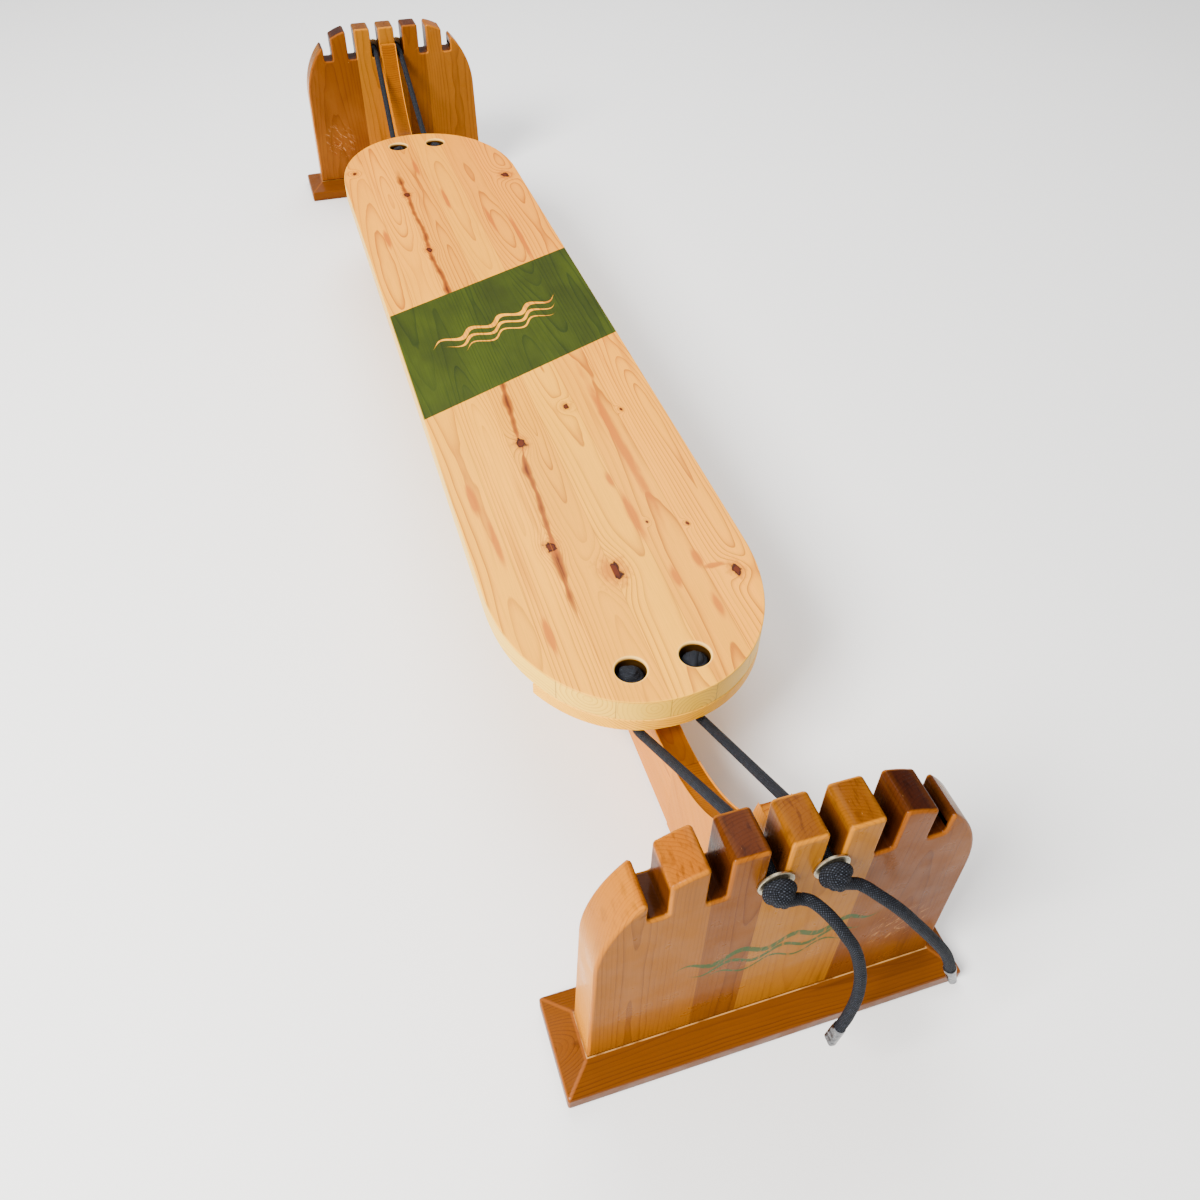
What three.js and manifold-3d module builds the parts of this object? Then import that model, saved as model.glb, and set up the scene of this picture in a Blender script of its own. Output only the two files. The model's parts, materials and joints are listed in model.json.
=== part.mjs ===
// A rope-hung balance board: a round-ended pine deck hangs on four short ropes between two slotted
// uprights. A spine beam with a curved knee at each end ties the uprights together.
// Millimetres. X runs across the board, Y along it and Z up, from the middle of the footprint.

import * as THREE from 'three';
import { ConvexGeometry } from 'three/addons/geometries/ConvexGeometry.js';
import { mergeVertices } from 'three/addons/utils/BufferGeometryUtils.js';
import Module from 'manifold-3d';

const wasm = await Module();
wasm.setup();

// Driving dimensions

const GAP = 0.3; // left between pieces that touch

const DECK = { length: 1408, width: 300, thickness: 28, top: 180, cap: 194, power: 2.12, edge: 1.2 };
const CLEAT = { width: 82, thickness: 16 };
const ROPE_HOLE = { x: 34, inset: 47.5, radius: 7.5, sinkRadius: 16.2, sinkDepth: 20 };
const UPRIGHT = { inner: 903.8, thickness: 41.7, footHalf: 168.4, edge: 2 };
const ARCH = { top: 306, flatHalf: 62, springHalf: 164, spring: 185 };
const SLOT = { count: 6, pitch: 46.1, width: 15.6, bottom: 254.3, round: 3, mouth: 4, edge: 1.5 };
const BASE = { width: 388, depth: 96, edgeHeight: 17, height: 28.1, landMargin: 1.5 };
const BEAM = { thickness: 28, bottom: 8, top: 105, edge: 1.5 };
const KNEE = { joint: 735, arcStart: 692, radius: 200, shoulder: 890 };
const ROPE = { radius: 5, bend: 20, clearUnderDeck: 9.5, endX: 32 };
const WASHER = { outer: 15, inner: 6, thickness: 2.5 };
const FERRULE = { radius: 5.6, length: 25 };
const DOWEL = { radius: 5, length: 40 };
const BASE_SCREW = { head: 4.6, shank: 2.3, length: 60, recess: 1, spacing: 110 };
const CLEAT_SCREW = { head: 4, shank: 2, length: 32, recess: 0.6 };

const deckEnd = DECK.length / 2;
const deckBottom = DECK.top - DECK.thickness;
const cleatBottom = deckBottom - GAP - CLEAT.thickness;
const holeY = deckEnd - ROPE_HOLE.inset;
const slotRopeX = SLOT.pitch / 2;
const slotRopeZ = SLOT.bottom + ROPE.radius + GAP;
const uprightOuter = UPRIGHT.inner + UPRIGHT.thickness;
const uprightMiddle = UPRIGHT.inner + UPRIGHT.thickness / 2;
const uprightFoot = BASE.height + GAP;

const CLEAT_SCREWS = [[-100, 638], [-60, 672], [60, 672], [100, 638]]; // x and distance from the middle
const KNEE_DOWELS = [70, 190]; // heights of the dowels between knee and upright
const BEAM_DOWELS = [34, 84]; // heights of the dowels between knee and beam

// Each rope's free tail, from its stop knot down to its ferrule.
const TAILS = {
  left: [
    [-8, -959, 250], [0, -963.5, 249], [8, -972, 244], [15, -980, 236], [21, -987, 226],
    [27, -992, 215], [31, -996, 203], [34, -999, 190], [36, -1002, 177], [37, -1004, 164],
    [37, -1006, 151], [36.5, -1007, 137], [35.5, -1007.5, 124], [34, -1008, 111], [31.5, -1008, 97],
  ],
  right: [
    [39, -960.5, 250], [46, -965.5, 247], [54, -971, 241], [63.5, -976.5, 233], [72, -980, 223.5],
    [80, -983, 213.5], [87.5, -985.5, 203], [95, -987.5, 192.5], [102, -989, 182], [109.5, -991, 171],
    [116.5, -992.5, 160], [123, -993.5, 149], [129, -994.5, 137], [134, -995.5, 125], [138, -996, 113],
  ],
};

// Materials

const wood = (color, roughness) => new THREE.MeshStandardMaterial({ color, roughness, metalness: 0 });
const metal = (color, roughness) => new THREE.MeshStandardMaterial({ color, roughness, metalness: 1 });
const materials = {
  deckPine: wood(0xe8bd7c, 0.45),
  cleatPine: wood(0xdcae6c, 0.5),
  uprightWood: wood(0xa86f47, 0.3),
  baseWood: wood(0x9c5527, 0.35),
  beamWood: wood(0xc98d52, 0.4),
  dowelBeech: wood(0xd9b98a, 0.7),
  rope: wood(0x2b323c, 0.9),
  washerSteel: metal(0xbfb9a6, 0.35),
  ferruleSteel: metal(0xb9bcc0, 0.3),
  screwSteel: metal(0xc9c08a, 0.4),
};

// Solids and cuts

function toSolid(geometry) {
  const bare = geometry.clone();
  bare.deleteAttribute('normal');
  bare.deleteAttribute('uv');
  const merged = mergeVertices(bare.index ? bare.toNonIndexed() : bare, 1e-3);
  return new wasm.Manifold(new wasm.Mesh({
    numProp: 3,
    vertProperties: new Float32Array(merged.attributes.position.array),
    triVerts: new Uint32Array(merged.index.array),
  }));
}

function toGeometry(solid) {
  const mesh = solid.getMesh();
  const geometry = new THREE.BufferGeometry();
  geometry.setAttribute('position', new THREE.BufferAttribute(mesh.vertProperties, 3));
  geometry.setIndex(new THREE.BufferAttribute(mesh.triVerts, 1));
  return geometry;
}

function cut(geometry, cutters) {
  return toGeometry(cutters.reduce((solid, cutter) => solid.subtract(toSolid(cutter)), toSolid(geometry)));
}

function join(geometries) {
  return toGeometry(geometries.map(toSolid).reduce((whole, solid) => whole.add(solid)));
}

const point = (values) => new THREE.Vector3(...values);

// A round bar between two points.
function bar(radius, from, to, sides = 16) {
  const axis = new THREE.Vector3().subVectors(to, from);
  const geometry = new THREE.CylinderGeometry(radius, radius, axis.length(), sides);
  const turn = new THREE.Quaternion().setFromUnitVectors(new THREE.Vector3(0, 1, 0), axis.clone().normalize());
  const middle = new THREE.Vector3().addVectors(from, to).multiplyScalar(0.5);
  return geometry.applyMatrix4(new THREE.Matrix4().compose(middle, turn, new THREE.Vector3(1, 1, 1)));
}

const uprightBar = (radius, x, y, low, high) => bar(radius, point([x, y, low]), point([x, y, high]));

function ellipsoid(centre, halfSizes, sides = 16) {
  const geometry = new THREE.SphereGeometry(1, sides, sides / 2);
  return geometry.scale(...halfSizes).translate(...centre);
}

// A plate with eased edges, cut to an outline. A flared plate widens at its faces instead, so
// that a cut made with it has eased edges.
function plate(shape, thickness, edge, flared = false) {
  const geometry = new THREE.ExtrudeGeometry(shape, {
    depth: thickness - 2 * edge,
    bevelEnabled: true,
    bevelThickness: edge,
    bevelSize: flared ? -edge : edge,
    bevelOffset: flared ? edge : -edge,
    bevelSegments: 2,
    curveSegments: 3,
  });
  return geometry.translate(0, 0, edge);
}

// Stands an outline drawn in x and z upright, its thickness running towards -Y.
const standAcross = (geometry) => geometry.rotateX(Math.PI / 2);

// Stands an outline drawn in y and z upright, its thickness running towards +X.
function standAlong(geometry) {
  const basis = new THREE.Matrix4().makeBasis(point([0, 1, 0]), point([0, 0, 1]), point([1, 0, 0]));
  return geometry.applyMatrix4(basis);
}

function ropeTube(points, steps) {
  const section = new THREE.Shape().absarc(0, 0, ROPE.radius, 0, 2 * Math.PI);
  return new THREE.ExtrudeGeometry(section, {
    steps,
    curveSegments: 5,
    extrudePath: new THREE.CatmullRomCurve3(points, false, 'centripetal'),
  });
}

// Countersunk wood screw standing on its head, with its tip up.
function screw({ head, shank, length }) {
  const profile = [[0, 0], [head, 0], [head, 0.8], [shank, 3.4], [shank, length - 6], [0, length]];
  const geometry = new THREE.LatheGeometry(profile.map(([r, z]) => new THREE.Vector2(r, z)), 12);
  return geometry.rotateX(Math.PI / 2);
}

// Deck

// Distance from the middle of the deck to its edge, at x across it.
function deckReach(x) {
  const side = (2 * Math.abs(x)) / DECK.width;
  return deckEnd - DECK.cap + DECK.cap * Math.max(0, 1 - side ** DECK.power) ** (1 / DECK.power);
}

// x values from -half to half, closer together towards the ends.
function acrossSteps(half, count) {
  return Array.from({ length: count + 1 }, (_, i) => -half * Math.cos((Math.PI * i) / count));
}

function deckShape() {
  const steps = acrossSteps(DECK.width / 2, 36);
  const nearEnd = steps.map((x) => new THREE.Vector2(x, -deckReach(x)));
  const farEnd = steps.map((x) => new THREE.Vector2(-x, deckReach(x)));
  return new THREE.Shape([...nearEnd, ...farEnd]);
}

function cleatShape() {
  const inner = deckEnd - CLEAT.width;
  const side = (inner - (deckEnd - DECK.cap)) / DECK.cap;
  const half = (DECK.width / 2) * (1 - side ** DECK.power) ** (1 / DECK.power);
  return new THREE.Shape(acrossSteps(half, 28).map((x) => new THREE.Vector2(x, -deckReach(x))));
}

function deckBoard() {
  const board = plate(deckShape(), DECK.thickness, DECK.edge).translate(0, 0, deckBottom);
  const cutters = [];
  for (const end of [-1, 1]) {
    for (const side of [-1, 1]) {
      const [x, y] = [side * ROPE_HOLE.x, end * holeY];
      cutters.push(uprightBar(ROPE_HOLE.radius, x, y, deckBottom - 5, DECK.top + 5));
      const sink = [DECK.top - ROPE_HOLE.sinkDepth, DECK.top + 5];
      cutters.push(bar(ROPE_HOLE.sinkRadius, point([x, y, sink[0]]), point([x, y, sink[1]]), 32));
    }
    for (const [x, y] of CLEAT_SCREWS) {
      const depth = cleatBottom + CLEAT_SCREW.length + 1;
      cutters.push(uprightBar(CLEAT_SCREW.shank + GAP, end * x, end * y, deckBottom - 5, depth));
    }
  }
  return cut(board, cutters);
}

function cleat() {
  const board = plate(cleatShape(), CLEAT.thickness, 0.8).translate(0, 0, cleatBottom);
  const cutters = [-1, 1].map((side) => (
    uprightBar(ROPE_HOLE.radius, side * ROPE_HOLE.x, -holeY, cleatBottom - 5, deckBottom + 5)));
  for (const [x, y] of CLEAT_SCREWS) {
    cutters.push(uprightBar(CLEAT_SCREW.shank + GAP, x, -y, cleatBottom - 5, deckBottom + 5));
    cutters.push(uprightBar(CLEAT_SCREW.head + GAP, x, -y, cleatBottom - 5, cleatBottom + 4.5));
  }
  return cut(board, cutters);
}

// Stand at the near end, towards -Y

function archHeight(x) {
  const past = Math.max(0, Math.abs(x) - ARCH.flatHalf) / (ARCH.springHalf - ARCH.flatHalf);
  return ARCH.spring + (ARCH.top - ARCH.spring) * Math.sqrt(Math.max(0, 1 - past ** 2));
}

function archShape() {
  const steps = Array.from({ length: 13 }, (_, i) => (
    ARCH.flatHalf + (ARCH.springHalf - ARCH.flatHalf) * Math.cos((Math.PI * i) / 24)));
  const right = steps.map((x) => new THREE.Vector2(x, archHeight(x)));
  const left = steps.map((x) => new THREE.Vector2(-x, archHeight(x))).reverse();
  const [footLeft, footRight] = [-1, 1].map((s) => new THREE.Vector2(s * UPRIGHT.footHalf, uprightFoot));
  return new THREE.Shape([footRight, ...right, ...left, footLeft]);
}

// One slot, open at the top, its walls rounded over where they meet the arch.
function slotShape(middle) {
  const shape = new THREE.Shape();
  const [left, right] = [middle - SLOT.width / 2, middle + SLOT.width / 2];
  const [wideLeft, wideRight] = [left - SLOT.mouth, right + SLOT.mouth];
  shape.moveTo(wideLeft, ARCH.top + 10);
  shape.lineTo(wideLeft, archHeight(wideLeft));
  shape.quadraticCurveTo(left, archHeight(left), left, archHeight(left) - SLOT.mouth);
  shape.lineTo(left, SLOT.bottom + SLOT.round);
  shape.quadraticCurveTo(left, SLOT.bottom, left + SLOT.round, SLOT.bottom);
  shape.lineTo(right - SLOT.round, SLOT.bottom);
  shape.quadraticCurveTo(right, SLOT.bottom, right, SLOT.bottom + SLOT.round);
  shape.lineTo(right, archHeight(right) - SLOT.mouth);
  shape.quadraticCurveTo(right, archHeight(right), wideRight, archHeight(wideRight));
  shape.lineTo(wideRight, ARCH.top + 10);
  return shape;
}

const slotMiddle = (i) => (i - (SLOT.count - 1) / 2) * SLOT.pitch;

const baseScrewXs = [-BASE_SCREW.spacing, 0, BASE_SCREW.spacing];

function upright() {
  const slots = Array.from({ length: SLOT.count }, (_, i) => (
    plate(slotShape(slotMiddle(i)), UPRIGHT.thickness, SLOT.edge, true)));
  const board = standAcross(cut(plate(archShape(), UPRIGHT.thickness, UPRIGHT.edge), slots));
  board.translate(0, -UPRIGHT.inner, 0);
  const cutters = baseScrewXs.map((x) => (
    uprightBar(BASE_SCREW.shank + GAP, x, -uprightMiddle, 0, BASE_SCREW.length + 2)));
  for (const z of KNEE_DOWELS) {
    const depth = UPRIGHT.inner + DOWEL.length / 2 + 1;
    cutters.push(bar(DOWEL.radius + GAP, point([0, -UPRIGHT.inner + 5, z]), point([0, -depth, z])));
  }
  return cut(board, cutters);
}

function base() {
  const rectangle = (width, depth, z) => [[-1, -1], [1, -1], [1, 1], [-1, 1]].map(([sx, sy]) => (
    point([(sx * width) / 2, -uprightMiddle + (sy * depth) / 2, z])));
  const plank = new ConvexGeometry([
    ...rectangle(BASE.width, BASE.depth, 0),
    ...rectangle(BASE.width, BASE.depth, BASE.edgeHeight),
    ...rectangle(2 * (UPRIGHT.footHalf + BASE.landMargin), UPRIGHT.thickness + 2 * BASE.landMargin, BASE.height),
  ]);
  const cutters = baseScrewXs.flatMap((x) => [
    uprightBar(BASE_SCREW.shank + GAP, x, -uprightMiddle, -5, BASE.height + 5),
    uprightBar(BASE_SCREW.head + GAP, x, -uprightMiddle, -5, BASE_SCREW.recess + 4),
  ]);
  return cut(plank, cutters);
}

// Beam and knees

// Height of the curved top, at a distance from the middle of the beam.
function kneeHeight(reach) {
  const along = Math.min(Math.max(0, reach - KNEE.arcStart), KNEE.shoulder - KNEE.arcStart);
  return BEAM.top + KNEE.radius - Math.sqrt(KNEE.radius ** 2 - along ** 2);
}

function kneeCurve(from, to, count) {
  return Array.from({ length: count + 1 }, (_, i) => {
    const reach = from + ((to - from) * i) / count;
    return new THREE.Vector2(-reach, kneeHeight(reach));
  });
}

function beamDowelHoles(end) {
  return BEAM_DOWELS.map((z) => bar(DOWEL.radius + GAP,
    point([0, end * (KNEE.joint - DOWEL.length / 2 - 1), z]),
    point([0, end * (KNEE.joint + DOWEL.length / 2 + 1), z])));
}

function beam() {
  const joint = KNEE.joint - GAP / 2;
  const rise = kneeCurve(KNEE.arcStart, joint, 4);
  const farRise = rise.map((p) => new THREE.Vector2(-p.x, p.y)).reverse();
  const outline = [new THREE.Vector2(joint, BEAM.bottom), ...farRise, ...rise, new THREE.Vector2(-joint, BEAM.bottom)];
  const body = standAlong(plate(new THREE.Shape(outline), BEAM.thickness, BEAM.edge));
  return cut(body.translate(-BEAM.thickness / 2, 0, 0), [...beamDowelHoles(-1), ...beamDowelHoles(1)]);
}

function knee() {
  const [joint, wall] = [KNEE.joint + GAP / 2, UPRIGHT.inner - GAP];
  const baseInner = uprightMiddle - BASE.depth / 2 - GAP;
  const outline = [
    new THREE.Vector2(-joint, BEAM.bottom),
    ...kneeCurve(joint, KNEE.shoulder, 14),
    new THREE.Vector2(-wall, kneeHeight(KNEE.shoulder)),
    new THREE.Vector2(-wall, uprightFoot + 1),
    new THREE.Vector2(-baseInner, BASE.edgeHeight + 1),
    new THREE.Vector2(-baseInner, BEAM.bottom),
  ];
  const body = standAlong(plate(new THREE.Shape(outline), BEAM.thickness, BEAM.edge));
  const wallHoles = KNEE_DOWELS.map((z) => bar(DOWEL.radius + GAP,
    point([0, -UPRIGHT.inner + DOWEL.length / 2 + 1, z]), point([0, -UPRIGHT.inner - 5, z])));
  return cut(body.translate(-BEAM.thickness / 2, 0, 0), [...beamDowelHoles(-1), ...wallHoles]);
}

function dowel(reach, z) {
  const half = DOWEL.length / 2;
  return bar(DOWEL.radius, point([0, -(reach - half), z]), point([0, -(reach + half), z]), 12);
}

// Ropes at the near end; side is -1 on the left and 1 on the right

const slotPoint = (side) => point([side * slotRopeX, -UPRIGHT.inner, slotRopeZ]);
const deckPoint = (side) => point([side * ROPE.endX, -deckEnd, cleatBottom - ROPE.clearUnderDeck]);

function ropeSpan(side) {
  const [from, to] = [deckPoint(side), slotPoint(side)];
  const along = new THREE.Vector3().subVectors(to, from).normalize();
  return bar(ROPE.radius, from.clone().addScaledVector(along, 1), to.clone().addScaledVector(along, -5), 12);
}

// The rope's end in the deck: a knot in the sink, and the lead down the hole and out to the span.
function deckKnot(side) {
  const end = deckPoint(side);
  const slope = Math.atan2(slotRopeZ - end.z, UPRIGHT.inner - deckEnd);
  const bendY = -holeY - ROPE.bend;
  const bendEndY = bendY - ROPE.bend * Math.sin(slope);
  const bendZ = end.z - (bendEndY - end.y) * Math.tan(slope) + ROPE.bend * Math.cos(slope);
  const turn = Math.PI / 2 + slope;
  const places = [[-holeY, DECK.top - ROPE_HOLE.sinkDepth + 6], [-holeY, bendZ + 12]];
  for (let i = 0; i <= 8; i += 1) {
    const angle = (turn * i) / 8;
    places.push([bendY + ROPE.bend * Math.cos(angle), bendZ - ROPE.bend * Math.sin(angle)]);
  }
  places.push([end.y + 1, end.z - Math.tan(slope)]);
  const lead = places.map(([y, z]) => {
    const inward = ((ROPE_HOLE.x - ROPE.endX) * (y + holeY)) / (deckEnd - holeY);
    return point([side * (ROPE_HOLE.x + inward), y, z]);
  });
  const sinkFloor = DECK.top - ROPE_HOLE.sinkDepth;
  const knot = ellipsoid([side * ROPE_HOLE.x, -holeY, sinkFloor + 9.5], [12.5, 12.5, 7.5]);
  return join([knot, ropeTube(lead, 18)]);
}

function stopKnot(side) {
  const x = side * slotRopeX;
  const face = -uprightOuter - WASHER.thickness - GAP;
  const through = bar(ROPE.radius, point([x, -UPRIGHT.inner - 0.7, slotRopeZ]), point([x, face - 6, slotRopeZ]), 12);
  const dome = ellipsoid([x, face - 8.8, slotRopeZ - 1], [12.5, 8.2, 11.5]);
  const tuck = ellipsoid([x + 4, face - 16, slotRopeZ - 11], [7.5, 6.5, 6.5], 12);
  return join([through, dome, tuck]);
}

function washer(side) {
  const ring = [[WASHER.inner, 0], [WASHER.outer, 0], [WASHER.outer, WASHER.thickness],
    [WASHER.inner, WASHER.thickness], [WASHER.inner, 0]];
  const geometry = new THREE.LatheGeometry(ring.map(([r, y]) => new THREE.Vector2(r, y)), 28);
  return geometry.translate(side * slotRopeX, -uprightOuter - GAP - WASHER.thickness, slotRopeZ);
}

const tail = (route) => ropeTube(route.map(point), 26);

function ferrule(route) {
  const [before, last] = route.slice(-2).map(point);
  const along = new THREE.Vector3().subVectors(last, before).normalize();
  const start = last.clone().addScaledVector(along, GAP);
  return bar(FERRULE.radius, start, start.clone().addScaledVector(along, FERRULE.length));
}

// Assembly

const board = new THREE.Group();

function add(parent, name, geometry, material) {
  const mesh = new THREE.Mesh(geometry, material.clone());
  mesh.name = name;
  parent.add(mesh);
  return mesh;
}

add(board, 'deck_board', deckBoard(), materials.deckPine);
add(board, 'spine_beam', beam(), materials.beamWood);

// The far end is the near end turned half round, so its left and right are the other way round.
for (const end of [{ name: 'near', turn: 0, sides: { left: -1, right: 1 } },
  { name: 'far', turn: Math.PI, sides: { right: -1, left: 1 } }]) {
  const stand = new THREE.Group();
  stand.rotation.z = end.turn;
  board.add(stand);
  add(stand, `${end.name}_base_plank`, base(), materials.baseWood);
  add(stand, `${end.name}_upright`, upright(), materials.uprightWood);
  add(stand, `${end.name}_knee_brace`, knee(), materials.beamWood);
  add(stand, `${end.name}_deck_cleat`, cleat(), materials.cleatPine);

  baseScrewXs.forEach((x, i) => {
    const mesh = add(stand, `${end.name}_base_screw_${i + 1}`, screw(BASE_SCREW), materials.screwSteel);
    mesh.position.set(x, -uprightMiddle, BASE_SCREW.recess);
  });
  CLEAT_SCREWS.forEach(([x, y], i) => {
    const mesh = add(stand, `${end.name}_cleat_screw_${i + 1}`, screw(CLEAT_SCREW), materials.screwSteel);
    mesh.position.set(x, -y, cleatBottom + CLEAT_SCREW.recess);
  });
  KNEE_DOWELS.forEach((z, i) => {
    add(stand, `${end.name}_upright_dowel_${i + 1}`, dowel(UPRIGHT.inner, z), materials.dowelBeech);
  });
  BEAM_DOWELS.forEach((z, i) => {
    add(stand, `${end.name}_beam_dowel_${i + 1}`, dowel(KNEE.joint, z), materials.dowelBeech);
  });

  for (const [sideName, side] of Object.entries(end.sides)) {
    const route = side < 0 ? TAILS.left : TAILS.right;
    const label = `${end.name}_${sideName}`;
    add(stand, `${label}_deck_knot`, deckKnot(side), materials.rope);
    add(stand, `${label}_rope`, ropeSpan(side), materials.rope);
    add(stand, `${label}_stop_knot`, stopKnot(side), materials.rope);
    add(stand, `${label}_washer`, washer(side), materials.washerSteel);
    add(stand, `${label}_rope_tail`, tail(route), materials.rope);
    add(stand, `${label}_ferrule`, ferrule(route), materials.ferruleSteel);
  }
}

export default board;
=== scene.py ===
import json
import math

import bmesh
import bpy
from mathutils import Matrix, Quaternion, Vector


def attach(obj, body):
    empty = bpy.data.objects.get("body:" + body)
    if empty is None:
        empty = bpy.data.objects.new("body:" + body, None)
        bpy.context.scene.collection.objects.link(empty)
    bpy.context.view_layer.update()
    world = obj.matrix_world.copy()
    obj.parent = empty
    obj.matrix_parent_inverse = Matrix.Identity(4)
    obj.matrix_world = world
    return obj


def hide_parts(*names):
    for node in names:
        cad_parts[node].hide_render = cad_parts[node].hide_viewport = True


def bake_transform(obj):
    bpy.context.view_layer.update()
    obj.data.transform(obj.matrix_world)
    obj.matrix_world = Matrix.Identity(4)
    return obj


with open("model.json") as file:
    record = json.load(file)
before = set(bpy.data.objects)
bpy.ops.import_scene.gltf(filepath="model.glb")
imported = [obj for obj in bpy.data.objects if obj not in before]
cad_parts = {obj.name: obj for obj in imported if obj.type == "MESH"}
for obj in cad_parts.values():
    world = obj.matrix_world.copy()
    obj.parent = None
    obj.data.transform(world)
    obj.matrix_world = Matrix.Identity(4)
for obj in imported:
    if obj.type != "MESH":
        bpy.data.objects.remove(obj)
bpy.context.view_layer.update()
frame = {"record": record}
scene = bpy.context.scene
BODY = {n: b for b, ns in frame["record"]["behaviour"]["bodies"].items() for n in ns}

# ---- sizes, in metres

DECK_TOP, DECK_LOW = 0.18, 0.152
DECK_HALF_LENGTH, DECK_HALF_WIDTH = 0.704, 0.150
DECK_CAP, DECK_POWER = 0.194, 2.12
CLEAT_TOP, CLEAT_LOW, CLEAT_WIDTH = 0.1517, 0.1357, 0.082
HOLE_X, HOLE_Y, HOLE_R = 0.034, 0.6565, 0.0075
SINK_R, SINK_FLOOR = 0.01625, 0.160
UP_INNER, UP_OUTER, UP_MID = 0.9038, 0.9455, 0.92465
UP_FOOT, UP_FOOT_HALF = 0.0284, 0.1684
ARCH_TOP, ARCH_SPRING, ARCH_FLAT, ARCH_HALF = 0.306, 0.185, 0.062, 0.164
SLOT_PITCH, SLOT_W, SLOT_LOW = 0.0461, 0.0156, 0.2543
BASE_HALF = (0.194, 0.048)
BASE_EDGE, BASE_TOP = 0.017, 0.0281
BEAM_HALF, BEAM_LOW, BEAM_TOP = 0.014, 0.008, 0.105
JOINT_Y, ARC_START, ARC_R, ARC_END = 0.735, 0.692, 0.2, 0.890
ROPE_R = 0.005
SLOT_X, SLOT_Z = 0.02305, 0.2596
LOW_X, LOW_Z, BEND_R = 0.032, 0.1262, 0.020
JOINT_GAP = 0.00015  # half of the gap between beam and knee
CLEAT_SCREWS = ((-0.1, 0.638), (-0.06, 0.672), (0.06, 0.672), (0.1, 0.638))
ENDS = (("near", 1), ("far", -1))  # the far stand is the near one turned half round

# ---- camera

camera = bpy.data.objects.new("Camera", bpy.data.cameras.new("Camera"))
scene.collection.objects.link(camera)
look = Vector((0.2213, 0.659, -0.7187)).normalized()
side = look.cross(Vector((0, 0, 1))).normalized()
top = side.cross(look)
roll = math.radians(1.07)
right = side * math.cos(roll) + top * math.sin(roll)
up = top * math.cos(roll) - side * math.sin(roll)
facing = Matrix((right, up, -look)).transposed().to_4x4()
camera.matrix_world = Matrix.Translation((-0.2695, -1.2583, 0.9448)) @ facing
camera.data.lens = 30.41
camera.data.sensor_width = 36
camera.data.clip_start = 0.02
scene.camera = camera


# ---- shader maths

class Value:
    """A socket that can be used in ordinary arithmetic."""

    def __init__(self, graph, socket):
        self.graph, self.socket = graph, socket

    def __abs__(self):
        return self.graph.math("ABSOLUTE", self)


def arithmetic(kind, swapped):
    def apply(a, b):
        return a.graph.math(kind, b, a) if swapped else a.graph.math(kind, a, b)
    return apply


for sign, kind in (("add", "ADD"), ("sub", "SUBTRACT"), ("mul", "MULTIPLY"), ("truediv", "DIVIDE"),
                   ("pow", "POWER")):
    setattr(Value, f"__{sign}__", arithmetic(kind, False))
    setattr(Value, f"__r{sign}__", arithmetic(kind, True))


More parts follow.
